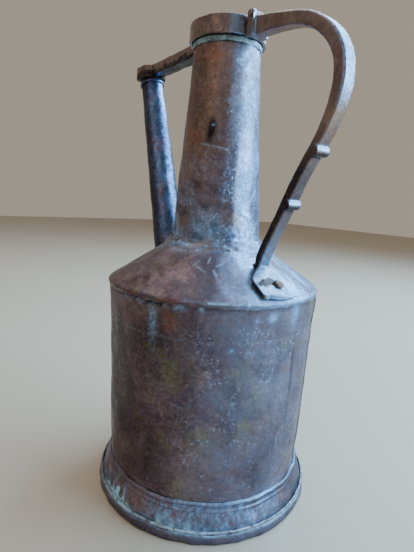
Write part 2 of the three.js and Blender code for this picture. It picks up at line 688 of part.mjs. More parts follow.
function lidKnob() {
  const foot = lidTop + LID_BOSS_RISE + GAP;
  const tail = lidBottom + LID_BOSS_RISE - GAP;
  const top = foot + KNOB_HEIGHT;
  const outline = new THREE.Shape();
  outline.moveTo(0, tail - KNOB_WAIST);
  outline.lineTo(2 * KNOB_SHANK, tail - KNOB_WAIST);
  outline.lineTo(2 * KNOB_SHANK, tail);
  outline.lineTo(KNOB_SHANK, tail);
  outline.lineTo(KNOB_SHANK, foot);
  outline.lineTo(KNOB_FOOT, foot);
  outline.quadraticCurveTo(KNOB_NECK, foot + KNOB_WAIST, KNOB_NECK, foot + 2 * KNOB_WAIST);
  outline.bezierCurveTo(KNOB_FOOT + 1, foot + 3 * KNOB_WAIST, KNOB_FOOT + 1, top, 0, top);
  return revolve(outline, SMALL_FACETS);
}

// ---------------------------------------------------------------- assembly

addPiece('base_pan', basePan(), agedCopper);
addPiece('foot_skirt', footSkirt(), agedCopper);
addPiece('foot_rim_solder', footRimSolder(), verdigris);
addPiece('body_wall', bodyWall(), agedCopper);
addPiece('shoulder_cone', shoulderCone(), agedCopper);
addPiece('neck_tube', neckTube(), neckCopper);
addPiece('neck_flange', neckFlange(), neckCopper);
addPiece('collar_band', collarBand(), forgedCopper);
addPiece('collar_solder', collarSolder(), verdigris);
addPiece('handle_bar', handleBar(), forgedCopper);
addPiece('handle_foot_rivet', handleFootRivet(), agedCopper);
addPiece('spout_tube', spoutTube(), spoutCopper);
addPiece('spout_base_solder', spoutBaseSolder(), verdigris);
addPiece('spout_lip_ring', spoutLipRing(), spoutCopper);
addPiece('brace_bar', braceBar(), forgedCopper);
addPiece('hinge_pin', hingePin(), forgedCopper);
addPiece('lid_plate', lidPlate(), agedCopper);
addPiece('lid_tongue', lidTongue(), forgedCopper);
LID_RIVET_PLACES.forEach((x, index) => addPiece(`lid_rivet_${index + 1}`, lidRivet(x), agedCopper));
addPiece('lid_knob', lidKnob(), knobBrass);

export default can;
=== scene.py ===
"""The looks of a hand-made copper oil can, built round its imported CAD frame.

Everything is in metres in the CAD's own frame: +Z up, the handle towards +X and the spout towards -X.
Angles round the can are in degrees from +X. Sheet pieces are turned again from the CAD's outlines with
many more facets and then dented; forged pieces, the lid and the spout's solder are remeshed copies of
their CAD solids with softened, uneven surfaces.
"""
import math

import bmesh
import bpy
import numpy as np
from mathutils import Matrix, Vector


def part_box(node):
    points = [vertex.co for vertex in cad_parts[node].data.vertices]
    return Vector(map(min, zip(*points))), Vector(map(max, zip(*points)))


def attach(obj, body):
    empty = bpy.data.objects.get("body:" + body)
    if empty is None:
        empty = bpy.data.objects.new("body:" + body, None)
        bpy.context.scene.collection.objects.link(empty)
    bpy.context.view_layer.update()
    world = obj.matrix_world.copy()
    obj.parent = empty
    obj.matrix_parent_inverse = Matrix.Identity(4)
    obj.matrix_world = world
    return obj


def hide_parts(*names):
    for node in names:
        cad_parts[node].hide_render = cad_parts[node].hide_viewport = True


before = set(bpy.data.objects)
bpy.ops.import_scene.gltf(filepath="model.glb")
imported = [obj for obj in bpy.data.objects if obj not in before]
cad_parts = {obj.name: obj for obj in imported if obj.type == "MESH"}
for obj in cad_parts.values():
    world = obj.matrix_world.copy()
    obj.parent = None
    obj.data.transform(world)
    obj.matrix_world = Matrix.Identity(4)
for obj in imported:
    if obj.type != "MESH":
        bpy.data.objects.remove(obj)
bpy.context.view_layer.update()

MM = 0.001  # a millimetre in metres
CAN = "can"
LID = "lid"

# ---------------------------------------------------------------- measures read from the frame


def positions(made):
    """A piece's points, one row each."""
    points = np.zeros(len(made.data.vertices) * 3)
    made.data.vertices.foreach_get("co", points)
    return points.reshape(-1, 3)


def cad_points(node):
    return positions(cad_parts[node])


PAN_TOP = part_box("base_pan")[1].z
PAN_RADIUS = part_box("base_pan")[1].y
SKIRT_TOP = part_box("foot_skirt")[1].z
LAP_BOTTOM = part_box("shoulder_cone")[0].z
SEAM_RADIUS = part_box("shoulder_cone")[1].y
NECK_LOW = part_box("neck_tube")[0].z
NECK_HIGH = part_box("neck_tube")[1].z
NECK_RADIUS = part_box("neck_tube")[1].y
FLANGE_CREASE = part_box("neck_flange")[1].z - 2 * MM
FLANGE_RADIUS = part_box("neck_flange")[1].y

# ---------------------------------------------------------------- meshes


def add_object(name, data):
    made = bpy.data.objects.new(name, data)
    bpy.context.scene.collection.objects.link(made)
    return made


def make_object(name, points, faces):
    mesh = bpy.data.meshes.new(name)
    mesh.from_pydata([tuple(p) for p in points], [], faces)
    mesh.update()
    mesh.shade_smooth()
    return add_object(name, mesh)


def cad_outline(node):
    """Radius and height round a turned CAD node's section, cut on the -Y side of its axis."""
    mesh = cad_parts[node].data
    points = cad_points(node)
    on_plane = (np.abs(points[:, 0]) < 2e-6) & (points[:, 1] < 1e-6)
    key_of = {}
    for index in np.nonzero(on_plane)[0]:
        key_of[int(index)] = (round(-points[index, 1] / MM, 2), round(points[index, 2] / MM, 2))
    links = {}
    for edge in mesh.edges:
        a, b = edge.vertices
        if a in key_of and b in key_of and key_of[a] != key_of[b]:
            links.setdefault(key_of[a], set()).add(key_of[b])
            links.setdefault(key_of[b], set()).add(key_of[a])
    ends = sorted(key for key, others in links.items() if len(others) == 1)
    outline = [ends[0] if ends else min(links)]
    while True:
        onward = sorted(key for key in links[outline[-1]] if key not in outline)
        if not onward:
            break
        outline.append(onward[0])
    return np.array(outline) * MM, not ends


def soften(outline, closed, rounding):
    """Cuts each sharp corner of an outline back to a short three-point curve."""
    count = len(outline)
    result = []
    for index in range(count):
        here = outline[index]
        if not closed and index in (0, count - 1):
            result.append(here)
            continue
        before = outline[index - 1] - here
        after = outline[(index + 1) % count] - here
        before_length = np.linalg.norm(before)
        after_length = np.linalg.norm(after)
        turn = np.dot(before, after) / (before_length * after_length)
        if turn < math.cos(math.radians(155)):
            result.append(here)
            continue
        cut = min(rounding, before_length * 0.4, after_length * 0.4)
        start = here + before / before_length * cut
        finish = here + after / after_length * cut
        result.extend([start, (start + finish + 2 * here) / 4, finish])
    return np.array(result)


def refine(outline, closed, step):
    """Adds points to an outline so that none of its stretches is longer than a step."""
    ring = np.vstack([outline, outline[:1]]) if closed else outline
    result = []
    for here, onward in zip(ring[:-1], ring[1:]):
        parts = max(1, math.ceil(np.linalg.norm(onward - here) / step))
        result.extend(here + (onward - here) * part / parts for part in range(parts))
    if not closed:
        result.append(ring[-1])
    return np.array(result)


def grid_faces(rows, columns, closed):
    """Quads over a grid that is closed round its columns, and round its rows if asked."""
    faces = []
    for row in range(rows if closed else rows - 1):
        below = row * columns
        above = ((row + 1) % rows) * columns
        for column in range(columns):
            beside = (column + 1) % columns
            faces.append((below + column, below + beside, above + beside, above + column))
    return faces


def turned(name, node, columns, step, rounding, shape):
    """Turns a CAD node's outline again with fine facets. shape gives the surface's offset along the
    radius and along Z from the angle in radians, radius and height of every point."""
    outline, closed = cad_outline(node)
    outline = refine(soften(outline, closed, rounding), closed, step)
    angle = np.linspace(-math.pi, math.pi, columns, endpoint=False)
    radius = np.repeat(outline[:, :1], columns, axis=1)
    height = np.repeat(outline[:, 1:], columns, axis=1)
    angles = np.repeat(angle[None, :], len(outline), axis=0)
    outward, upward = shape(angles, radius, height)
    radius = np.where(radius > 1e-6, radius + outward, 0)
    height = height + upward
    points = around(angles, radius, height).reshape(-1, 3)
    made = make_object(name, points, grid_faces(len(outline), columns, closed))
    made.data.validate()
    face_outwards(made)
    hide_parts(node)
    return made


def face_outwards(made):
    work = bmesh.new()
    work.from_mesh(made.data)
    bmesh.ops.remove_doubles(work, verts=work.verts, dist=1e-7)
    bmesh.ops.recalc_face_normals(work, faces=work.faces)
    work.to_mesh(made.data)
    work.free()


def normals(made):
    found = np.zeros(len(made.data.vertices) * 3)
    made.data.vertices.foreach_get("normal", found)
    return found.reshape(-1, 3)


def move_points(made, points):
    made.data.vertices.foreach_set("co", points.astype(np.float32).ravel())
    made.data.update()


def paint(made, **masks):
    """Stores masks from 0 to 1 on a piece's points, for its material to read by their names."""
    for mask, values in masks.items():
        layer = made.data.attributes.new(mask, "FLOAT", "POINT")
        layer.data.foreach_set("value", limited(values).astype(np.float32))


def ripple(points, wavelength, seed):
    """A smooth random height, mostly from -1 to 1, whose features are about a wavelength across."""
    waves = 16
    rng = np.random.default_rng(seed)
    directions = rng.normal(size=(waves, 3))
    directions /= np.linalg.norm(directions, axis=1)[:, None]
    phases = rng.uniform(0, 2 * math.pi, waves)
    stretch = rng.uniform(0.7, 1.5, waves)
    rows = points.reshape(-1, 3)
    total = np.zeros(len(rows))
    for direction, phase, factor in zip(directions, phases, stretch):
        total += np.sin(rows @ direction * (2 * math.pi / (wavelength * factor)) + phase)
    return (total / math.sqrt(waves)).reshape(points.shape[:-1])


def relief(places, *layers):
    """A sum of ripples, each given by its depth and wavelength in millimetres and its seed."""
    return sum(depth * MM * ripple(places, wavelength * MM, seed) for depth, wavelength, seed in layers)


def forged(name, node, voxel, passes, lumps, seed, wavelength=9 * MM):
    """A remeshed, softened and slightly uneven copy of a CAD node."""
    source = add_object(name + "_source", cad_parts[node].data.copy())
    remesh = source.modifiers.new("remesh", "REMESH")
    remesh.mode = "VOXEL"
    remesh.voxel_size = voxel
    smooth = source.modifiers.new("smooth", "SMOOTH")
    smooth.factor = 0.5
    smooth.iterations = passes
    evaluated = bpy.context.evaluated_depsgraph_get()
    mesh = bpy.data.meshes.new_from_object(source.evaluated_get(evaluated))
    mesh.name = name
    bpy.data.objects.remove(source)
    made = add_object(name, mesh)
    points = positions(made)
    height = ripple(points, wavelength, seed) + 0.5 * ripple(points, wavelength / 3, seed + 1)
    move_points(made, points + normals(made) * (lumps * height)[:, None])
    mesh.shade_smooth()
    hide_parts(node)
    return made


# ---------------------------------------------------------------- material graphs


def tone(red, green, blue):
    """A colour given as display values from 0 to 255, in the linear light that nodes use."""
    linear = []
    for value in (red, green, blue):
        share = value / 255
        linear.append(share / 12.92 if share <= 0.04045 else ((share + 0.055) / 1.055) ** 2.4)
    return (*linear, 1.0)


class Graph:
    """One material and short ways to add its nodes. Textures are in features to the metre."""

    def __init__(self, name):
        self.material = bpy.data.materials.new(name)
        self.material.use_nodes = True
        self.tree = self.material.node_tree
        self.shader = self.tree.nodes["Principled BSDF"]
        self.place = self.tree.nodes.new("ShaderNodeTexCoord").outputs["Object"]

    def feed(self, socket, value):
        if isinstance(value, bpy.types.NodeSocket):
            self.tree.links.new(value, socket)
        else:
            socket.default_value = value

    def add(self, kind, **inputs):
        """Adds a node and feeds its inputs; an underscore stands for the space in an input's name."""
        node = self.tree.nodes.new("ShaderNode" + kind)
        for name, value in inputs.items():
            self.feed(node.inputs[name.replace("_", " ")], value)
        return node

    def set(self, name, value):
        """Gives one of the shader's inputs a value or another node's output."""
        self.feed(self.shader.inputs[name], value)

    def stretched(self, scale):
        return self.add("Mapping", Vector=self.place, Scale=scale).outputs["Vector"]

    def noise(self, per_metre, detail=4.0, roughness=0.55, place=None, distortion=0.0):
        node = self.add("TexNoise", Vector=place or self.place, Scale=per_metre, Detail=detail,
                        Roughness=roughness, Distortion=distortion)
        return node.outputs["Fac"]

    def cells(self, per_metre, feature="F1"):
        node = self.add("TexVoronoi", Vector=self.place, Scale=per_metre)
        node.feature = feature
        return node.outputs["Distance"]

    def spread(self, value, low, high, to_low=0.0, to_high=1.0):
        """Moves values smoothly from one range to another, and holds them inside it."""
        node = self.add("MapRange", Value=value, From_Min=low, From_Max=high, To_Min=to_low, To_Max=to_high)
        node.interpolation_type = "SMOOTHSTEP"
        return node.outputs["Result"]

    def math(self, operation, first, second):
        node = self.tree.nodes.new("ShaderNodeMath")
        node.operation = operation
        node.use_clamp = operation in ("MULTIPLY", "ADD")
        self.feed(node.inputs[0], first)
        self.feed(node.inputs[1], second)
        return node.outputs[0]

    def times(self, first, second):
        return self.math("MULTIPLY", first, second)

    def mix(self, share, first, second):
        node = self.tree.nodes.new("ShaderNodeMix")
        node.data_type = "RGBA"
        self.feed(node.inputs[0], share)
        self.feed(node.inputs[6], first)
        self.feed(node.inputs[7], second)
        return node.outputs[2]

    def ramp(self, value, stops):
        node = self.tree.nodes.new("ShaderNodeValToRGB")
        self.feed(node.inputs["Fac"], value)
        ramp = node.color_ramp
        while len(ramp.elements) < len(stops):
            ramp.elements.new(0.5)
        for element, (at, colour) in zip(ramp.elements, stops):
            element.position = at
            element.color = colour
        return node.outputs["Color"]

    def mask(self, name):
        node = self.tree.nodes.new("ShaderNodeAttribute")
        node.attribute_name = name
        return node.outputs["Fac"]

    def bump(self, height, distance, strength, below=None):
        node = self.add("Bump", Strength=strength, Distance=distance, Height=height)
        if below is not None:
            self.feed(node.inputs["Normal"], below)
        return node.outputs["Normal"]


VERDIGRIS = tone(176, 192, 192)
VERDIGRIS_DEEP = tone(98, 124, 126)
# Soot, and also painted shade on shaded sides, undersides and in gaps.
SOOT = tone(28, 24, 31)
RAW_COPPER = tone(158, 92, 60)
# Chalk, and also painted highlight lines along lit edges and crests.
CHALK = tone(148, 202, 242)
# Pale pits, which also stand for painted glints on the lit side.
FLECK = tone(164, 188, 226)
# Blue-grey bloom, and also a painted blue reflection of the windows on the side they light.
BLOOM = tone(106, 112, 140)
# A painted pale blue sheen and highlights, and the colour of fine scratches.
PALE_BLOOM = tone(130, 182, 236)
# Pale crust on solder, and also a painted highlight line along its crest.
PALE_CRUST = tone(176, 214, 244)
PURPLE = tone(84, 58, 84)
OLIVE = tone(104, 98, 56)
PALE_OLIVE = tone(134, 136, 96)
BARE_BROWN = tone(86, 68, 72)
SOLDER_GREYS = ((0.3, tone(58, 64, 72)), (0.42, tone(88, 110, 118)),
                (0.55, tone(122, 148, 154)), (0.72, tone(162, 184, 190)))


def browns(graph, dark, middle, light, olive):
    """The base coat of aged copper: three browns in blotches, olive stains, upright streaks, mottle."""
    blotches = graph.noise(30, 6, 0.62, distortion=0.5)
    colour = graph.ramp(blotches, [(0.3, dark), (0.5, middle), (0.72, light)])
    stains = graph.noise(44, 5, 0.7, distortion=1.0)
    colour = graph.mix(graph.spread(stains, 0.54, 0.64, 0, olive), colour, OLIVE)
    painted = graph.times(graph.mask("olive"), graph.spread(stains, 0.36, 0.52))
    colour = graph.mix(painted, colour, PALE_OLIVE)
    tint = graph.noise(36, 5, 0.65, place=graph.stretched((1, 1, 0.7)), distortion=0.8)
    colour = graph.mix(graph.spread(tint, 0.5, 0.68, 0, 0.6), colour, PURPLE)
    streaks = graph.noise(90, 5, 0.6, place=graph.stretched((1, 1, 0.12)))
    colour = graph.mix(graph.spread(streaks, 0.5, 0.7, 0, 0.5), colour, dark)
    clouds = graph.noise(140, 6, 0.7, distortion=0.4)
    colour = graph.mix(graph.spread(clouds, 0.52, 0.7, 0, 0.4), colour, light)
    colour = graph.mix(graph.spread(clouds, 0.48, 0.34, 0, 0.5), colour, dark)
    mottle = graph.noise(420, 5, 0.72)
    colour = graph.mix(graph.spread(mottle, 0.5, 0.7, 0, 0.5), colour, light)
    return graph.mix(graph.spread(mottle, 0.5, 0.32, 0, 0.6), colour, dark)


def scratches(graph):
    """Fine marks that run round the can, and some that run up it, as a share from 0 to 1."""
    level = graph.noise(120, 4, 0.7, place=graph.stretched((1, 1, 11)), distortion=0.3)
    upright = graph.noise(150, 4, 0.7, place=graph.stretched((6, 6, 0.5)))
    places = graph.spread(graph.noise(38, 3), 0.44, 0.66)
    both = graph.math("MAXIMUM", graph.spread(level, 0.56, 0.72), graph.spread(upright, 0.6, 0.78))
    return graph.times(both, places)


def patinated(name, dark, middle, light, olive=0.5, speckle=0.5, gloss=0.42, hammer=0.25):
    """Aged copper. Masks painted on the piece lead its olive stains, rubbed copper, blue-grey bloom and
    a painted blue reflection, a paler painted sheen, pale pits and dots that also stand for painted
    glints, soot and painted shade, verdigris, and chalk with painted highlights."""
    graph = Graph(name)
    colour = browns(graph, dark, middle, light, olive)

    rubbed_break = graph.noise(150, 6, 0.65)
    rubbed = graph.times(graph.mask("rubbed"), graph.spread(rubbed_break, 0.4, 0.6))
    colour = graph.mix(rubbed, colour, RAW_COPPER)

    # Bloom, with a painted blue reflection where the mask carries it, then a paler painted sheen.
    bloom_break = graph.spread(graph.noise(62, 7, 0.72, distortion=0.7), 0.3, 0.66, 0.25, 1)
    bloom = graph.times(graph.mask("bloom"), bloom_break)
    colour = graph.mix(bloom, colour, BLOOM)
    # A paler painted sheen and highlights where the mask carries them, and pale marks.
    haze_break = graph.spread(graph.noise(110, 6, 0.7, distortion=0.4), 0.3, 0.62, 0.5, 1)
    haze_grain = graph.spread(graph.noise(400, 6, 0.72), 0.4, 0.56, 0.35, 1)
    haze = graph.times(graph.times(graph.mask("haze"), haze_break), haze_grain)
    colour = graph.mix(haze, colour, PALE_BLOOM)
    colour = graph.mix(graph.times(scratches(graph), 0.2), colour, PALE_BLOOM)

    # Pale pits and dots, partly painted glints.
    pit_noise = graph.noise(460, 5, 0.68, distortion=0.3)
    pits_few = graph.spread(pit_noise, 0.62, 0.7)
    pits_many = graph.spread(pit_noise, 0.52, 0.7)
    where = graph.spread(graph.noise(60, 4), 0.46, 0.62, 0.0, 1)
    pits = graph.times(graph.times(pits_few, where), speckle)
    pitted = graph.times(pits_many, graph.mask("pitted"))
    pits = graph.math("MAXIMUM", pits, pitted)
    colour = graph.mix(pits, colour, FLECK)
    chosen = graph.times(graph.spread(graph.noise(210, 3), 0.55, 0.63), speckle)
    share = graph.math("ADD", graph.times(graph.mask("pitted"), 0.9), 0.1)
    dots = graph.times(graph.spread(graph.cells(260), 0.21, 0.09), chosen)
    colour = graph.mix(graph.times(dots, share), colour, FLECK)

    # Soot, and painted shade where the mask carries it.
    soot_break = graph.spread(graph.noise(260, 5, 0.65), 0.3, 0.55, 0.8, 1)
    soot = graph.times(graph.mask("soot"), soot_break)
    colour = graph.mix(soot, colour, SOOT)

    crust_break = graph.noise(250, 7, 0.72, place=graph.stretched((1, 1, 0.4)), distortion=0.5)
    crust_low = graph.times(graph.math("SUBTRACT", 1.02, graph.mask("verdigris")), 0.9)
    crust = graph.spread(graph.math("SUBTRACT", crust_break, crust_low), 0.02, 0.2)
    crust_colour = graph.mix(graph.spread(graph.noise(520, 5), 0.38, 0.58), VERDIGRIS_DEEP, VERDIGRIS)
    colour = graph.mix(crust, colour, crust_colour)
    # Chalk, and painted highlights where the mask carries it.
    chalk_break = graph.spread(graph.noise(380, 4), 0.35, 0.5)
    chalk = graph.times(graph.mask("chalk"), chalk_break)
    colour = graph.mix(chalk, colour, CHALK)
    graph.set("Base Color", colour)

    dull = graph.math("MAXIMUM", crust, chalk)
    smooth_patches = graph.spread(graph.noise(48, 5, 0.6), 0.35, 0.68, gloss - 0.1, gloss + 0.16)
    fine = graph.spread(graph.noise(620, 4), 0.3, 0.7, -0.08, 0.1)
    rough = graph.math("ADD", smooth_patches, fine)
    rough = graph.math("ADD", rough, graph.times(dull, 0.35))
    graph.set("Roughness", rough)
    metallic = graph.times(graph.math("SUBTRACT", 1.0, dull), 0.8)
    graph.set("Metallic", metallic)

    dimples = graph.bump(graph.cells(170, "SMOOTH_F1"), 0.5 * MM, hammer)
    grain = graph.bump(graph.noise(520, 6, 0.7), 0.35 * MM, 0.4, dimples)
    raised = graph.bump(graph.math("ADD", crust, pits), 0.35 * MM, 0.5, grain)
    graph.set("Normal", raised)
    return graph.material


def solder_material(name):
    """Grey solder under pale green corrosion, rough and lumpy; brown copper shows where the mask called
    bare says, and the solder is paler where the mask of chalk and painted highlight is higher."""
    graph = Graph(name)
    patches = graph.noise(210, 6, 0.68, distortion=0.5)
    colour = graph.ramp(patches, SOLDER_GREYS)
    brown = graph.math("SUBTRACT", graph.math("ADD", graph.noise(85, 5, 0.65), graph.mask("bare")), 0.6)
    colour = graph.mix(graph.spread(brown, 0, 0.16, 0, 0.9), colour, BARE_BROWN)
    bluish = graph.spread(graph.noise(130, 5, 0.65), 0.45, 0.62, 0, 0.5)
    colour = graph.mix(graph.times(bluish, graph.mask("bare")), colour, BLOOM)
    chalk = graph.times(graph.mask("chalk"), graph.spread(graph.noise(330, 5), 0.34, 0.52))
    colour = graph.mix(chalk, colour, PALE_CRUST)
    graph.set("Base Color", colour)
    graph.set("Roughness", graph.spread(patches, 0.3, 0.7, 0.42, 0.8))
    graph.set("Metallic", graph.spread(patches, 0.5, 0.36, 0.1, 0.7))
    grain = graph.bump(graph.noise(900, 6, 0.7), 0.4 * MM, 0.5)
    graph.set("Normal", grain)
    return graph.material


body_copper = patinated("body_copper_patina", tone(56, 42, 46), tone(104, 82, 86), tone(150, 126, 126),
                        olive=0.75, speckle=0.75)
neck_copper = patinated("neck_copper_patina", tone(84, 66, 63), tone(124, 100, 93), tone(156, 132, 123),
                        olive=0.35)
forged_copper = patinated("forged_copper_patina", tone(102, 86, 84), tone(130, 112, 108), tone(150, 132, 128),
                          olive=0.35, speckle=0.1, gloss=0.34, hammer=0.12)
# Its blue tones stand in part for a painted reflection of the blue windows.
spout_copper = patinated("spout_copper_patina", tone(46, 50, 68), tone(74, 94, 134), tone(110, 142, 188),
                         olive=0.2, speckle=0.1, gloss=0.28, hammer=0.12)
knob_brass = patinated("knob_brass_patina", tone(70, 54, 34), tone(112, 90, 56), tone(156, 130, 84),
                       olive=0.2, speckle=0.1, gloss=0.34)
solder = solder_material("solder_corroded")


def dress(made, material, body=CAN):
    made.data.materials.clear()
    made.data.materials.append(material)
    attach(made, body)


# ---------------------------------------------------------------- sheet pieces


def polar(made):
    """Angle round the can's axis in degrees, radius and height of each of a piece's points."""
    points = positions(made)
    angle = np.degrees(np.arctan2(points[:, 1], points[:, 0]))
    return angle, np.hypot(points[:, 0], points[:, 1]), points[:, 2]


def limited(values):
    return np.clip(values, 0, 1)


def ridge(values, centre, fade):
    """1 at the centre, with a sharp peak and long sides."""
    return np.exp(-np.abs(values - centre) / fade)


def hump(values, centre, width):
    """1 at the centre, with a round peak and short sides."""
    return np.exp(-((values - centre) / width) ** 2)


def apart(angle, centre):
    """Signed difference between angles in degrees, from -180 to 180."""
    return (angle - centre + 180) % 360 - 180


def patch(skin, at_angle, at_height, wide, tall):
    """A soft round mask on a turned surface. skin holds its points' angles, radii and heights."""
    angle, radius, height = skin
    across = np.radians(apart(angle, at_angle)) * radius / wide
    along = (height - at_height) / tall
    return np.exp(-across ** 2 - along ** 2)


def around(angles, radius, height):
    """Places of a grid's points, from their angles in radians, radius and height."""
    return np.stack([radius * np.cos(angles), radius * np.sin(angles), height], -1)


def random_dents(skin, low, high, count, seed, depth):
    """Shallow knocks scattered over a turned sheet, as an offset along the radius."""
    rng = np.random.default_rng(seed)
    total = np.zeros_like(skin[1])
    for _ in range(count):
        wide = rng.uniform(4, 15) * MM
        tall = wide * rng.uniform(0.6, 1.6)
        at_angle, at_height = rng.uniform(-180, 180), rng.uniform(low, high)
        knock = depth * rng.uniform(0.3, 1)
        total -= knock * patch(skin, at_angle, at_height, wide, tall)
    return total


SEAM_ANGLE = 35.0  # the body sheet's upright lap
SEAM_WIDTH = 12  # degrees over which the lap fades
SCRIBE_HEIGHT = 126 * MM  # a line scribed round the body
SHOULDER_SLOPE = math.radians(33)

# Soft marks, each as its angle, height, width and tallness. Some are painted light: shade in a knock and over
# one side, highlight patches and a glint.
BODY_CREASE = (-64, 131 * MM, 3.2 * MM, 15 * MM)
CREASE_DRIP = (-64, 134 * MM, 2.4 * MM, 13 * MM)
BODY_KNOCK = (-18, 36 * MM, 8 * MM, 6 * MM)
# Painted shade in the knock.
KNOCK_SOOT = (-9, 34 * MM, 8 * MM, 5 * MM)
# Painted shade over the side away from the windows.
SMOKED_SIDE = (-84, 70 * MM, 26 * MM, 80 * MM)
BODY_CRACK = (11, 101 * MM, 0.9 * MM, 22 * MM)
RAW_PATCH = (-56, 137 * MM, 5 * MM, 6 * MM)
# Painted highlight patches under the shoulder, on the lit side.
SPLASH = (-7, 140 * MM, 3.2 * MM, 2.6 * MM)
SPLASH_CORE = (-7, 140 * MM, 1.8 * MM, 1.4 * MM)
SMALL_SPLASH = (-15, 139 * MM, 2 * MM, 2 * MM)
LONG_SPLASH = (8, 141 * MM, 3 * MM, 7 * MM)
NECK_SPOT = (-51, 248.5 * MM, 2.2 * MM, 4.2 * MM)
NECK_SPOT_TAIL = (-54, 243 * MM, 2.6 * MM, 4 * MM)
# A painted glint.
NECK_SPOT_GLINT = (-50, 249.5 * MM, 0.9 * MM, 0.7 * MM)
NECK_STREAK = (-55, 279 * MM, 2 * MM, 15 * MM)

NECK_SCRATCH_ANGLE = -47
NECK_SCRATCH_REACH = 20  # degrees to each side of that angle
# Painted glints on pits over the body.
SCUFFS = ((-24, 88), (-14, 31), (-20, 37), (-26, 121), (-17, 119), (-6, 125))  # angle, height in mm
OLIVE_STAINS = ((-22, 108), (-17, 70), (-38, 63), (-48, 30), (-60, 100), (-12, 92))  # angle, height
SEAM_BLOBS = (-81, -77.5, -71, -57, -52, -49.5, -41)  # angles of the solder patches under the shoulder


def seam_blobs(skin):
    """Where solder was patched under the shoulder's edge at the front, from 0 to 1."""
    total = np.zeros_like(skin[1])
    for number, at in enumerate(SEAM_BLOBS):
        wide = (1.6 + number % 3) * MM
        total += patch(skin, at, LAP_BOTTOM - 0.6 * MM, wide, 1.9 * MM)
    return limited(total)


def body_shape(angles, radius, height):
    """Waves, knocks, the upright lap and the swellings where the skirt and shoulder are joined on."""
    skin = np.degrees(angles), radius, height
    places = around(angles, radius, height)
    waves = relief(places, (0.32, 62, 3), (0.1, 14, 4))
    ends = limited((LAP_BOTTOM - height) / (12 * MM)) * limited((height - SKIRT_TOP) / (8 * MM))
    dents = random_dents(skin, 25 * MM, 138 * MM, 46, 11, 0.6 * MM)
    crease = -1.0 * MM * patch(skin, *BODY_CREASE)
    knock = -1.2 * MM * patch(skin, *BODY_KNOCK)
    behind = apart(skin[0], SEAM_ANGLE)
    lap = np.where((behind >= 0) & (behind < SEAM_WIDTH), 0.85 * MM * (1 - behind / SEAM_WIDTH), 0)
    lap *= limited(ends * 4)
    scribe = -0.18 * MM * hump(height, SCRIBE_HEIGHT, 0.7 * MM)
    skirt_joint = 0.45 * MM * hump(height, SKIRT_TOP, 3 * MM)
    lap_joint = 0.5 * MM * np.exp(-limited(LAP_BOTTOM - height) / (7 * MM))
    outside = radius > np.where(height > 0, radius.min(axis=0), 0) + 0.1 * MM
    blobs = 1.1 * MM * seam_blobs(skin) * outside
    joints = skirt_joint + lap_joint * outside + blobs
    return (waves + dents + crease + knock) * ends + lap + scribe + joints, np.zeros_like(radius)


NICKS = ((-50, 166, 62), (-45, 163, -38), (-40, 168, 80), (-35, 162, -64), (-31, 166, 24))
NICK_LENGTH = 3.4 * MM
NICK_WIDTH = 0.6 * MM


def nick_marks(skin):
    """Short knocks on the shoulder's front, each given by its angle, height in mm and slant."""
    angle, radius, height = skin
    total = np.zeros_like(height)
    for at_angle, at_height, slant in NICKS:
        across = np.radians(apart(angle, at_angle)) * radius
        along = (height - at_height * MM) / math.sin(SHOULDER_SLOPE)
        turn = math.radians(slant)
        length_ways = across * math.cos(turn) + along * math.sin(turn)
        width_ways = along * math.cos(turn) - across * math.sin(turn)
        total += np.exp(-(length_ways / NICK_LENGTH) ** 4 - (width_ways / NICK_WIDTH) ** 2)
    return limited(total)


def shoulder_shape(angles, radius, height):
    """A hammered cone that stays smooth under the flange and has a ragged hem."""
    skin = np.degrees(angles), radius, height
    places = around(angles, radius, height)
    rim = limited((radius - (SEAM_RADIUS - 2 * MM)) / (1.5 * MM))
    flat = 1 - limited((radius - (SEAM_RADIUS - 10 * MM)) / (8 * MM))
    waves = relief(places, (0.3, 34, 7), (0.12, 9, 8))
    low = (height < LAP_BOTTOM + 0.9 * MM) & (radius > SEAM_RADIUS - 2 * MM)
    ragged = (relief(places, (0.18, 6, 9)) - 0.1 * MM) * rim
    feather = limited((LAP_BOTTOM + 2.6 * MM - height) / (2.4 * MM)) * 0.5 * MM
    ragged -= feather * (radius > SEAM_RADIUS - 0.3 * MM)
    hem = low * (relief(places, (0.35, 8, 10)) + 0.3 * MM)
    dents = random_dents(skin, LAP_BOTTOM + 8 * MM, NECK_LOW, 26, 21, 0.6 * MM)
    nicks = -0.4 * MM * nick_marks(skin)
    calm = limited((radius - FLANGE_RADIUS) / (8 * MM))
    return ragged, (waves + dents) * flat * calm + nicks * flat + hem


def neck_shape(angles, radius, height):
    skin = np.degrees(angles), radius, height
    places = around(angles, radius, height)
    waves = relief(places, (0.22, 40, 13))
    low = limited((235 * MM - height) / (50 * MM))
    hammered = relief(places, (0.13, 5.5, 14)) * (0.35 + low)
    hammered += relief(places * np.array([1, 1, 0.6]), (0.14, 10, 65))
    dents = random_dents(skin, NECK_LOW, NECK_HIGH, 30, 31, 0.35 * MM)
    flare = 0.6 * MM * np.exp(-(height - NECK_LOW) / (4 * MM))
    return waves + hammered + dents + flare, np.zeros_like(radius)


def flange_shape(angles, radius, height):
    places = around(angles, radius, height)
    apron = limited((radius - NECK_RADIUS - 2 * MM) / (3 * MM))
    pressed = relief(places, (0.16, 12, 12)) * (1 - apron) - 0.85 * MM * apron
    return relief(places, (0.3, 24, 15), (0.2, 6, 16)), pressed


def skirt_shape(angles, radius, height):
    places = around(angles, radius, height)
    return relief(places, (0.3, 30, 17), (0.2, 9, 18)), relief(places, (0.25, 24, 19))


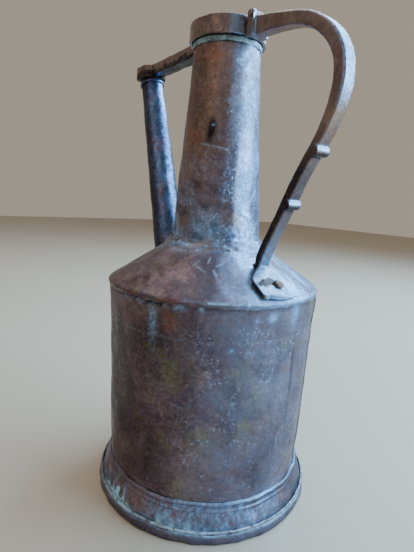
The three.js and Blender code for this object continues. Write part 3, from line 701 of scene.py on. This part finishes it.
def pan_shape(angles, radius, height):
    places = around(angles, radius, height)
    rim = limited((radius - (PAN_RADIUS - 6 * MM)) / (4 * MM))
    lumps = relief(places, (0.28, 13, 23), (0.12, 5, 24)) * rim
    raised = limited(height / (3 * MM))
    edge = relief(places, (0.35, 14, 25)) * rim * raised
    return lumps - 0.3 * MM * rim, edge


def bloom_round(angle, points, seed):
    """How much blue-grey bloom and painted blue reflection a turned sheet has: the painted reflection of
    the windows most on the handle's side, which they light, and bloom in clouds elsewhere.
    """
    lit_side = limited((angle + 62) / 40) * limited((95 - angle) / 50)
    clouds = limited(0.35 + 0.5 * ripple(points, 46 * MM, seed))
    front = np.exp(-(apart(angle, -80) / 34) ** 2)
    return np.maximum(lit_side * (0.75 + 0.25 * clouds), clouds * 0.7 * (1 - front))


def between(angle, start, end, fade=40):
    """1 between two angles round the can, fading to 0 over some degrees outside them."""
    return limited((angle - start) / fade + 1) * limited((end - angle) / fade + 1)


def build_body():
    made = turned("body_wall_sheet", "body_wall", 440, 1.4 * MM, 0.3 * MM, body_shape)
    skin = angle, _, height = polar(made)
    points = positions(made)
    seam = np.exp(-limited(np.abs(height - LAP_BOTTOM) - 1 * MM) / (0.9 * MM))
    foot = ridge(height, SKIRT_TOP, 1.8 * MM)
    clouds = 0.5 + 0.5 * ripple(points, 40 * MM, 41)
    blobs = seam_blobs(skin)
    lit_side = between(angle, 5, 55)
    paint(made, verdigris=0.25 * blobs + 0.15 * seam * clouds + 0.3 * foot * clouds)
    crease = patch(skin, *CREASE_DRIP)
    # Bloom, with a painted blue reflection on the lit side.
    paint(made, bloom=0.8 * bloom_round(angle, points, 43) + 0.8 * crease + 0.5 * blobs + 0.2 * foot)
    # Painted highlight patches and glints, pale marks on the crease and blobs, and a faint painted sheen at
    # the front right.
    stains = patch(skin, *SPLASH)
    stains += 0.6 * patch(skin, *SMALL_SPLASH)
    stains += patch(skin, *LONG_SPLASH)
    broken = limited(0.4 + 0.9 * ripple(points, 2.4 * MM, 45))
    for at_angle, at_height in SCUFFS:
        stains += 0.85 * broken * patch(skin, at_angle, at_height * MM, 2.6 * MM, 1.4 * MM)
    front_right = between(angle, -32, 5, 14) * clouds
    paint(made, haze=stains + broken * (0.9 * crease + 0.5 * blobs) + 0.15 * front_right)
    flecks = limited(0.35 + 0.8 * ripple(points, 18 * MM, 44))
    # Pale pits, most on the lit side, as painted glints.
    paint(made, pitted=(0.1 + 0.5 * between(angle, -30, 55)) * flecks)
    olive = sum(patch(skin, at, up * MM, 7 * MM, 9 * MM) for at, up in OLIVE_STAINS)
    paint(made, olive=0.65 * olive)
    # Painted shade over the side away from the windows, in the knock and along the gap under the shoulder's
    # edge; the crack is a dark line in the sheet.
    soot = 0.85 * patch(skin, *SMOKED_SIDE) * (0.4 + 0.6 * clouds)
    gap = seam * (0.35 + 0.65 * np.exp(-(apart(angle, -64) / 26) ** 2)) * (1 - blobs)
    knock = patch(skin, *KNOCK_SOOT) * (0.4 + 0.6 * clouds)
    crack = patch(skin, *BODY_CRACK)
    paint(made, soot=soot + 0.7 * knock + gap + 0.8 * crack)
    rubbed = patch(skin, *RAW_PATCH)
    rubbed += 0.25 * limited(ripple(points, 30 * MM, 42)) * (1 - lit_side)
    paint(made, rubbed=0.6 * rubbed)
    # Chalk on the scribed line, crease and blobs, and a painted highlight at the core of the highlight patch.
    scribe = hump(height, SCRIBE_HEIGHT, 0.5 * MM)
    spot = patch(skin, *SPLASH_CORE)
    paint(made, chalk=0.15 * scribe * clouds + 0.6 * spot + 0.35 * broken * (crease + 0.6 * blobs))
    dress(made, body_copper)


def build_shoulder():
    made = turned("shoulder_sheet", "shoulder_cone", 560, 0.8 * MM, 0.12 * MM, shoulder_shape)
    skin = angle, radius, height = polar(made)
    points = positions(made)
    edge = ridge(radius, SEAM_RADIUS, 0.6 * MM) * (height > LAP_BOTTOM + 1.0 * MM)
    base = np.exp(-limited(radius - NECK_RADIUS - 6 * MM) / (4 * MM))
    clouds = 0.5 + 0.5 * ripple(points, 22 * MM, 51)
    lit_side = between(angle, -4, 50, 32)
    paint(made, verdigris=0.2 * base * clouds)
    # Bloom, with a painted blue reflection on the lit side.
    paint(made, bloom=0.15 + 0.9 * bloom_round(angle, points, 53) + 0.4 * base)
    nicks = nick_marks(skin)
    # A painted sheen on the lit side, with paler patches round the neck and on the nicks.
    paint(made, haze=lit_side * (0.35 + 0.6 * clouds) + 0.4 * base * clouds + 0.3 * nicks)
    paint(made, soot=0.3 * between(angle, -75, -38, 14) * (1 - nicks) * (1 - base))
    lip = edge * between(angle, -58, -40, 6)
    paint(made, rubbed=lip + 0.6 * edge * limited(ripple(points, 16 * MM, 52)) + nicks)
    # A painted highlight line along the hem's crest, mostly on the lit side; chalk on the nicks.
    crest = ridge(height, LAP_BOTTOM + 3 * MM, 0.5 * MM) * (radius > SEAM_RADIUS - 2 * MM)
    bright = between(angle, -30, 70, 12) + 0.6 * between(angle, -48, -38, 4)
    paint(made, chalk=0.9 * crest * bright * (0.35 + 0.65 * clouds) + 0.25 * nicks)
    paint(made, pitted=0.3 * limited(ripple(points, 18 * MM, 55)) + 0.5 * nicks)
    dress(made, body_copper)


def build_neck():
    made = turned("neck_sheet", "neck_tube", 240, 0.9 * MM, 0.3 * MM, neck_shape)
    skin = angle, _, height = polar(made)
    points = positions(made)
    spot = patch(skin, *NECK_SPOT)
    spot += 0.6 * patch(skin, *NECK_SPOT_TAIL)
    low = limited((240 * MM - height) / (45 * MM))
    clouds = 0.5 + 0.5 * ripple(points, 18 * MM, 61)
    lit_side = between(angle, 2, 50, 32)
    flecks = limited(ripple(points, 9 * MM, 64))
    paint(made, soot=1.6 * spot + 0.6 * low * flecks * (1 - 0.8 * lit_side))
    # Pale pits, with more painted glints on the lit side.
    paint(made, pitted=0.75 * low * (0.4 + 0.6 * clouds) + 0.3 * lit_side + 0.3 * clouds)
    paint(made, bloom=0.6 * bloom_round(angle, points, 63) + 0.75 * low)
    foot = limited((198 * MM - height) / (20 * MM))
    # A painted highlight on the lit side, and paler patches low on the neck.
    paint(made, haze=0.85 * lit_side * (0.6 + 0.4 * clouds) + (0.5 * foot + 0.25 * low) * clouds)
    streak = patch(skin, *NECK_STREAK)
    worn = limited(ripple(points, 24 * MM, 62)) * (1 - lit_side)
    paint(made, rubbed=0.6 * streak * (0.4 + 0.6 * clouds) + 0.3 * worn)
    along_scratch = apart(angle, NECK_SCRATCH_ANGLE)
    line_height = (236.5 - 0.09 * along_scratch) * MM
    scratch = hump(height, line_height, 0.4 * MM) * (np.abs(along_scratch) < NECK_SCRATCH_REACH)
    # Chalk in the scratch, and a painted glint at the spot.
    dot = patch(skin, *NECK_SPOT_GLINT)
    paint(made, chalk=0.5 * scratch + 0.8 * dot)
    dress(made, neck_copper)


def build_flange():
    flange = turned("neck_flange_sheet", "neck_flange", 320, 0.5 * MM, 0.3 * MM, flange_shape)
    angle, _, height = polar(flange)
    points = positions(flange)
    clouds = 0.5 + 0.5 * ripple(points, 14 * MM, 66)
    lit_side = between(angle, -20, 50, 30)
    crease = ridge(height, FLANGE_CREASE, 0.35 * MM)
    orange = crease * (0.35 + 0.65 * between(angle, -62, -42, 10)) * (0.4 + 0.6 * clouds)
    paint(flange, rubbed=1.2 * orange)
    speckle = limited(ripple(points, 5 * MM, 68))
    # A pale speckled band, a little stronger on the lit side as painted sheen.
    paint(flange, haze=(1 - orange) * (0.4 + 0.2 * lit_side + 0.7 * speckle))
    paint(flange, bloom=0.3 + 0.4 * clouds)
    paint(flange, soot=0.35 * limited(ripple(points, 7 * MM, 67)) * (1 - lit_side))
    dress(flange, neck_copper)


def rim_deposit(angle, points):
    """How thick the pale deposit on the foot's rim is, from 0 to 1: most at the front and left."""
    front_left = np.exp(-(apart(angle, -72) / 30) ** 2)
    clouds = 0.5 + 0.5 * ripple(points * np.array([1, 1, 0.2]), 16 * MM, 73)
    return limited(0.12 + 1.2 * front_left) * (0.45 + 0.55 * clouds)


def build_skirt():
    skirt = turned("foot_skirt_sheet", "foot_skirt", 440, 0.8 * MM, 0.3 * MM, skirt_shape)
    angle, _, height = polar(skirt)
    points = positions(skirt)
    deposit = rim_deposit(angle, points)
    drips = limited(0.5 + 0.7 * ripple(points * np.array([1, 1, 0.1]), 4.5 * MM, 72))
    reach = (0.8 + 2.2 * deposit + 5.5 * deposit * drips ** 2) * MM
    clouds = 0.5 + 0.5 * ripple(points, 12 * MM, 76)
    above_rim = limited(height - PAN_TOP - 0.6 * MM)
    crust = np.exp(-(above_rim / reach) ** 2)
    edge = ridge(height, SKIRT_TOP, 0.7 * MM)
    lit_side = between(angle, 0, 60, 45)
    paint(skirt, verdigris=crust * (0.35 + 0.75 * deposit))
    # A painted highlight line along the top bead, on the lit side and front.
    crest = ridge(height, SKIRT_TOP, 0.45 * MM) * (0.3 + 0.7 * clouds)
    bright_edge = crest * between(angle, -36, 60, 25)
    paint(skirt, chalk=1.3 * crust * deposit * (0.25 + 0.75 * drips) + bright_edge)
    paint(skirt, soot=0.45 * between(angle, 5, 60, 30) * (1 - edge))
    paint(skirt, bloom=0.4 + 0.7 * bloom_round(angle, points, 74) + 0.5 * edge)
    upright = points * np.array([1, 1, 0.3])
    broken = 0.42 + 0.4 * ripple(upright, 5 * MM, 78) + 0.4 * ripple(points, 2 * MM, 79)
    front = between(angle, -50, -5, 20) * limited(broken)
    # Painted highlights along the top bead and broken glints at the front, with pale crust at the rim.
    paint(skirt, haze=0.6 * edge * between(angle, -40, 60, 25) + 0.35 * crust + front)
    # Pale pits, with painted glints along the lit bead.
    paint(skirt, pitted=0.4 * limited(ripple(points, 12 * MM, 75)) + 0.4 * lit_side * edge)
    paint(skirt, rubbed=0.5 * limited(ripple(points, 14 * MM, 71)))
    dress(skirt, body_copper)


def build_pan():
    pan = turned("base_pan_sheet", "base_pan", 400, 1.4 * MM, 0.4 * MM, pan_shape)
    angle, radius, height = polar(pan)
    points = positions(pan)
    crest = ridge(height, PAN_TOP, 0.7 * MM) * (radius > PAN_RADIUS - 4 * MM)
    deposit = rim_deposit(angle, points)
    front_right = between(angle, -35, 45, 25)
    paint(pan, verdigris=0.8 * crest * deposit)
    # Deposit on the rim's crest, and a painted highlight line along it at the front and right.
    paint(pan, chalk=crest * (0.5 * deposit + 0.75 * front_right))
    # A painted highlight along the rim's crest.
    paint(pan, haze=0.6 * crest)
    paint(pan, bloom=0.4 + 0.6 * bloom_round(angle, points, 77) + 0.5 * crest)
    # Darker towards the bottom edge.
    paint(pan, soot=0.6 * np.exp(-height / (1.6 * MM)))
    dress(pan, body_copper)


# ---------------------------------------------------------------- spout


SOOTY_SIDE = np.array([-0.6, -0.8, 0])  # the side of the spout painted dark as shade
FAR_SIDE = np.array([-0.8, 0.6, 0])  # the side where bars and spout kept more of their copper colour


def on_far_side(facing):
    return limited(1.5 * facing @ FAR_SIDE)


def spout_axis():
    """The centre of the spout's end, the axis that points out of it and its outer and inner radius."""
    points = cad_points("spout_tube")
    ring = points[points[:, 2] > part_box("brace_bar")[0].z]
    centre = ring.mean(axis=0)
    axis = np.linalg.svd(ring - centre)[2][2]
    axis = axis * np.sign(axis[2])
    across = np.linalg.norm(ring - centre, axis=1)
    return centre, axis, across.max(), across.min()


def shoulder_line():
    """Height of the shoulder's outside as a slope and a level, from its radius."""
    outline = cad_outline("shoulder_cone")[0]
    radius = outline[:, 0]
    cone = outline[(radius > NECK_RADIUS - 1.6 * MM) & (radius < SEAM_RADIUS - 0.9 * MM)]
    edge = cone[cone[:, 0] > SEAM_RADIUS - 1.1 * MM]
    high = cone[cone[:, 1].argmax()]
    low = edge[edge[:, 1].argmax()]
    slope = (high[1] - low[1]) / (high[0] - low[0])
    return slope, low[1] - slope * low[0]


SPOUT_COLUMNS = 120
SPOUT_ROWS = 150  # on the outside, and again on the inside
NEAREST_CUT = -80 * MM  # the shoulder is met between these distances from the spout's end
FARTHEST_CUT = -190 * MM


def build_spout():
    centre, axis, outer, inner = spout_axis()
    slope, level = shoulder_line()
    points = cad_points("spout_tube")
    along = (points - centre) @ axis
    away = np.linalg.norm(points - centre - along[:, None] * axis, axis=1)
    low = along < -100 * MM
    outside = low & (away > np.median(away[low]))
    taper = (away[outside].mean() - outer) / along[outside].mean()
    angle = np.linspace(0, 2 * math.pi, SPOUT_COLUMNS, endpoint=False)
    side = np.cross(axis, [0, 1, 0])
    side /= np.linalg.norm(side)
    round_about = np.outer(np.cos(angle), side) + np.outer(np.sin(angle), [0, 1, 0])

    def place(distance, radius_at_end):
        radius = radius_at_end + taper * distance
        return centre + distance[:, None] * axis + radius[:, None] * round_about

    def reach(radius_at_end):
        """Distance back from the end, on each column, to the shoulder's surface, found by halving."""
        near = np.full(SPOUT_COLUMNS, NEAREST_CUT)
        far = np.full(SPOUT_COLUMNS, FARTHEST_CUT)
        for _ in range(30):
            middle = (near + far) / 2
            spot = place(middle, radius_at_end)
            under = spot[:, 2] < slope * np.hypot(spot[:, 0], spot[:, 1]) + level
            far = np.where(under, middle, far)
            near = np.where(under, near, middle)
        return near

    sheets = []
    for radius_at_end, order in ((outer, 1), (inner, -1)):
        start = reach(radius_at_end)
        shares = np.linspace(0, 1, SPOUT_ROWS)[::order]
        sheets.extend(place(start * (1 - share), radius_at_end) for share in shares)
    faces = grid_faces(2 * SPOUT_ROWS, SPOUT_COLUMNS, True)
    made = make_object("spout_tube_sheet", np.array(sheets).reshape(-1, 3), faces)
    face_outwards(made)
    points = positions(made)
    along = (points - centre) @ axis
    outward = points - centre - along[:, None] * axis
    outward /= np.linalg.norm(outward, axis=1)[:, None]
    waves = relief(points, (0.16, 26, 81), (0.07, 7, 82))
    move_points(made, points + outward * waves[:, None])
    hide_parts("spout_tube")
    worn = 0.3 * limited(ripple(points, 20 * MM, 83))
    paint(made, rubbed=worn + 0.8 * on_far_side(outward))
    # The side away from the windows painted dark as shade, and the other side given a painted sheen.
    sooty = limited(1.4 * outward @ SOOTY_SIDE - 0.1)
    paint(made, soot=0.8 * sooty)
    paint(made, haze=0.35 * limited(-outward @ SOOTY_SIDE))
    dress(made, spout_copper)

    ring = forged("spout_lip_ring_forged", "spout_lip_ring", 0.4 * MM, 4, 0.12 * MM, 84)
    dress(ring, spout_copper)
    fillet = forged("spout_base_solder_run", "spout_base_solder", 0.45 * MM, 5, 0.3 * MM, 85, 6 * MM)
    dress(fillet, solder)


# ---------------------------------------------------------------- forged pieces and solder


def thin_leaf(points):
    """Hammers the leaf's +Y side, and its heel behind the bar, down towards the shoulder."""
    slope, level = shoulder_line()
    radius = np.hypot(points[:, 0], points[:, 1])
    above = points[:, 2] - slope * radius - level
    side = limited((points[:, 1] + 2 * MM) / (10 * MM))
    side *= limited((radius - 52 * MM) / (6 * MM))
    side *= limited((5.2 * MM - above) / (1.2 * MM))
    heel = limited((51.5 * MM - radius) / (1.5 * MM)) * limited((6.5 * MM - above) / (3.5 * MM))
    points[:, 2] -= 0.85 * above * np.maximum(side, heel)
    return points


LEAF_TOP = 166 * MM  # the leaf lies below this height
ARCH_START = 250 * MM  # the handle's run ends and its arch starts here


def bead_centres():
    """The middle of each bead on the handle's run, the higher one first."""
    points = cad_points("handle_bar")
    run = points[(points[:, 2] > LEAF_TOP + 9 * MM) & (points[:, 2] < ARCH_START)]
    widest = run[np.abs(run[:, 1]) > np.abs(run[:, 1]).max() - 0.1 * MM]
    high = widest[:, 2] > widest[:, 2].mean()
    return widest[high].mean(axis=0), widest[~high].mean(axis=0)


def build_handle():
    bar = forged("handle_bar_forged", "handle_bar", 0.4 * MM, 4, 0.09 * MM, 91, 14 * MM)
    move_points(bar, thin_leaf(positions(bar)))
    points = positions(bar)
    facing = normals(bar)
    across, height = points[:, 1], points[:, 2]
    outer_face = limited(facing[:, 0])
    under = limited(-4 * facing[:, 2] - 2.4)
    leaf = limited((LEAF_TOP - height) / (6 * MM)) * limited(facing[:, 2] * 2)
    arch = limited((height - ARCH_START) / (18 * MM))
    run = limited((ARCH_START - height) / (30 * MM))
    low_run = limited((205 * MM - height) / (25 * MM))
    run_end = limited((190 * MM - height) / (24 * MM)) * outer_face * (1 - leaf)
    side_faces = limited(1.6 * np.abs(facing[:, 1]) - 0.5)
    smear = hump(across, -6 * MM, 8 * MM) * hump(points[:, 0], 62 * MM, 3.4 * MM)
    smear *= limited(0.9 + 0.5 * ripple(points, 5 * MM, 93))
    smear = limited((smear - 0.3) / 0.2)
    high, low = bead_centres()
    up_run = (high - low) / np.linalg.norm(high - low)
    # Painted highlights on the beads' tops and painted shade under them.
    tops = np.zeros(len(points))
    shaded = np.zeros(len(points))
    for centre in (high, low):
        along = (points - centre) @ up_run
        tops += hump(along, 2.3 * MM, 1.1 * MM) * outer_face
        shaded += hump(along, -1.8 * MM, 2 * MM) * outer_face
    # A painted blue reflection on the outer face.
    bar_bloom = outer_face * (0.8 * arch + 0.4 * run + 0.5 * low_run) * (1 - leaf)
    paint(bar, bloom=0.7 * leaf * (1 - smear) + bar_bloom + tops)
    # Painted highlights on the arch's outer face, the leaf, the beads' tops and the end of the run.
    paint(bar, haze=0.95 * outer_face * arch + leaf * (1 - smear) + tops + 0.8 * run_end)
    paint(bar, chalk=0.35 * tops + 0.3 * leaf * (1 - smear))
    paint(bar, pitted=0.5 * leaf * (1 - smear))
    # Painted shade on the side faces and the faces turned down; soot in the smear by the rivet.
    dark = 0.75 * side_faces + 0.9 * under * (1 - leaf) + 0.15 * (1 - outer_face) + 0.45 * outer_face
    dark = run * dark * (1 - tops) * (1 - leaf) * (1 - 0.6 * low_run * outer_face)
    far = on_far_side(facing)
    paint(bar, soot=dark + shaded + 0.95 * leaf * smear + 0.25 * far)
    worn = hump(height, 236 * MM, 12 * MM) * outer_face
    patches = 0.2 * limited(ripple(points, 18 * MM, 92))
    paint(bar, rubbed=patches + 0.5 * worn * (1 - tops) + 0.7 * far)
    dress(bar, forged_copper)
    head = forged("handle_foot_rivet_head", "handle_foot_rivet", 0.35 * MM, 4, 0.08 * MM, 94, 4 * MM)
    dress(head, body_copper)


COLLAR_STREAK = (-57, 305 * MM, 1.6 * MM, 6 * MM)
COLLAR_STREAK_TOP = (-62, 307 * MM, 1.4 * MM, 3 * MM)


def build_collar():
    band = forged("collar_band_forged", "collar_band", 0.45 * MM, 3, 0.12 * MM, 101, 10 * MM)
    skin = angle, _, _ = polar(band)
    streak = patch(skin, *COLLAR_STREAK)
    streak += 0.7 * patch(skin, *COLLAR_STREAK_TOP)
    far = on_far_side(normals(band))
    paint(band, rubbed=0.4 * streak + 0.7 * far)
    paint(band, soot=0.3 * between(angle, -74, -46, 10) + 0.3 * far)
    paint(band, haze=0.4 * between(angle, -33, -17, 5))
    # Bloom, with a painted blue reflection on the side towards the windows.
    paint(band, bloom=0.8 * limited((angle + 45) / 20) * limited((60 - angle) / 20))
    dress(band, forged_copper)


def build_brace():
    bar = forged("brace_bar_forged", "brace_bar", 0.5 * MM, 2, 0.14 * MM, 102, 12 * MM)
    points = positions(bar)
    low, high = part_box("brace_bar")
    share = (points[:, 2] - low.z) / (high.z - low.z) + 0.12 * ripple(points, 7 * MM, 104)
    facing = normals(bar)
    lower_part = limited((0.62 - share) / 0.2)
    far = np.maximum(on_far_side(facing), 0.7 * limited(facing[:, 2]))
    # Painted shade on the lower part and the faces turned down, and some darkening on the far side.
    paint(bar, soot=0.9 * lower_part + 0.6 * limited(-2 * facing[:, 2]) + 0.3 * far)
    paint(bar, rubbed=0.3 * limited(ripple(points, 16 * MM, 103)) + 0.7 * far)
    dress(bar, forged_copper)


def solder_shape(depth):
    """The uneven surface of a run of solder whose lumps are about a depth high."""
    def shape(angles, radius, height):
        places = around(angles, radius, height)
        lumps = ripple(places, 9 * MM, 111) + 0.6 * ripple(places, 3 * MM, 112)
        return depth * lumps, depth * ripple(places, 7 * MM, 113)
    return shape


def solder_ring(node, depth):
    return turned(node + "_run", node, 360, 0.5 * MM, 0.3 * MM, solder_shape(depth))


def build_rim_solder():
    run = solder_ring("foot_rim_solder", 0.12 * MM)
    angle, _, height = polar(run)
    points = positions(run)
    deposit = rim_deposit(angle, points)
    crest = ridge(height, height.max() - 0.6 * MM, 0.3 * MM)
    broken = limited(0.7 + 0.5 * ripple(points, 8 * MM, 114))
    paint(run, bare=1 - 1.1 * deposit)
    # Pale deposit, and a painted highlight line along the crest at the front and right.
    paint(run, chalk=0.85 * deposit + crest * between(angle, -60, 60, 20) * broken)
    dress(run, solder)


def build_collar_solder():
    run = solder_ring("collar_solder", 0.16 * MM)
    angle = polar(run)[0]
    # A painted highlight on the side the windows light.
    paint(run, chalk=0.6 * between(angle, 0, 60, 20))
    dress(run, solder)


def build_lid():
    plate = forged("lid_plate_sheet", "lid_plate", 0.45 * MM, 3, 0.1 * MM, 121, 12 * MM)
    dress(plate, body_copper, LID)
    tongue = forged("lid_tongue_forged", "lid_tongue", 0.3 * MM, 3, 0.05 * MM, 123, 8 * MM)
    dress(tongue, forged_copper, LID)
    for number in (1, 2):
        node = f"lid_rivet_{number}"
        head = forged(node + "_head", node, 0.25 * MM, 3, 0.04 * MM, 125 + number)
        dress(head, body_copper, LID)
    knob = forged("lid_knob_turned", "lid_knob", 0.3 * MM, 3, 0.04 * MM, 129, 6 * MM)
    dress(knob, knob_brass, LID)
    pin = forged("hinge_pin_peened", "hinge_pin", 0.25 * MM, 3, 0.03 * MM, 131, 4 * MM)
    dress(pin, forged_copper)


build_body()
build_shoulder()
build_neck()
build_flange()
build_skirt()
build_pan()
build_spout()
build_handle()
build_collar()
build_brace()
build_rim_solder()
build_collar_solder()
build_lid()

# ---------------------------------------------------------------- floor, light and camera


FLOOR_REACH = 3.0
LIGHT_TARGET = (0, 0, 0.18)
WINDOW_BLUE = (0.45, 0.75, 1.0)
WARM_WHITE = (1.0, 0.93, 0.88)
LAMP_WHITE = (1.0, 0.9, 0.8)
WORLD_COLOUR = (0.92, 0.80, 0.64, 1)
WORLD_STRENGTH = 0.42

CAMERA_DISTANCE = 0.2844  # from the can's axis
CAMERA_HEIGHT = 0.2043
CAMERA_TURN = math.radians(53.5)  # round the can, from -Y
CAMERA_PITCH = 0.1884  # radians, as are the next two
CAMERA_YAW = -0.0154
CAMERA_ROLL = 0.0601
CAMERA_LENS = 26.27  # mm, on a sensor 36 mm wide


def build_floor():
    corners = [(x * FLOOR_REACH, y * FLOOR_REACH, 0) for x, y in ((-1, -1), (1, -1), (1, 1), (-1, 1))]
    floor = make_object("studio_floor", corners, [(0, 1, 2, 3)])
    graph = Graph("studio_floor_paint")
    colour = graph.mix(graph.noise(3, 2), tone(184, 174, 160), tone(192, 182, 168))
    graph.set("Base Color", colour)
    graph.set("Roughness", 0.75)
    floor.data.materials.append(graph.material)


def area_light(name, place, size, power, colour):
    lamp = bpy.data.lights.new(name, "AREA")
    lamp.shape = "SQUARE"
    lamp.size = size
    lamp.energy = power
    lamp.color = colour
    made = add_object(name, lamp)
    made.location = place
    made.rotation_euler = (Vector(LIGHT_TARGET) - Vector(place)).to_track_quat("-Z", "Y").to_euler()


def build_light():
    world = bpy.data.worlds.new("studio")
    world.use_nodes = True
    background = world.node_tree.nodes["Background"]
    background.inputs["Color"].default_value = WORLD_COLOUR
    background.inputs["Strength"].default_value = WORLD_STRENGTH
    bpy.context.scene.world = world
    area_light("key_window", (0.85, 0.72, 0.5), 0.8, 26, WINDOW_BLUE)
    area_light("high_window", (-0.05, 0.85, 1.05), 0.9, 28, WINDOW_BLUE)
    area_light("ceiling", (-0.5, 0.12, 1.4), 1.2, 8, WARM_WHITE)
    area_light("front_fill", (0.35, -1.1, 0.8), 0.9, 2, LAMP_WHITE)


def build_camera():
    data = bpy.data.cameras.new("camera")
    data.sensor_width = 36
    data.lens = CAMERA_LENS
    data.clip_start = 0.01
    camera = add_object("camera", data)
    forward = Vector((math.sin(CAMERA_YAW) * math.cos(CAMERA_PITCH),
                      math.cos(CAMERA_YAW) * math.cos(CAMERA_PITCH), -math.sin(CAMERA_PITCH)))
    level = Vector((math.cos(CAMERA_YAW), -math.sin(CAMERA_YAW), 0))
    upright = level.cross(forward)
    right = math.cos(CAMERA_ROLL) * level + math.sin(CAMERA_ROLL) * upright
    up = -math.sin(CAMERA_ROLL) * level + math.cos(CAMERA_ROLL) * upright
    basis = Matrix((right, up, -forward)).transposed().to_4x4()
    place = Matrix.Translation((0, -CAMERA_DISTANCE, CAMERA_HEIGHT))
    camera.matrix_world = Matrix.Rotation(CAMERA_TURN, 4, "Z") @ place @ basis
    bpy.context.scene.camera = camera


build_floor()
build_light()
build_camera()
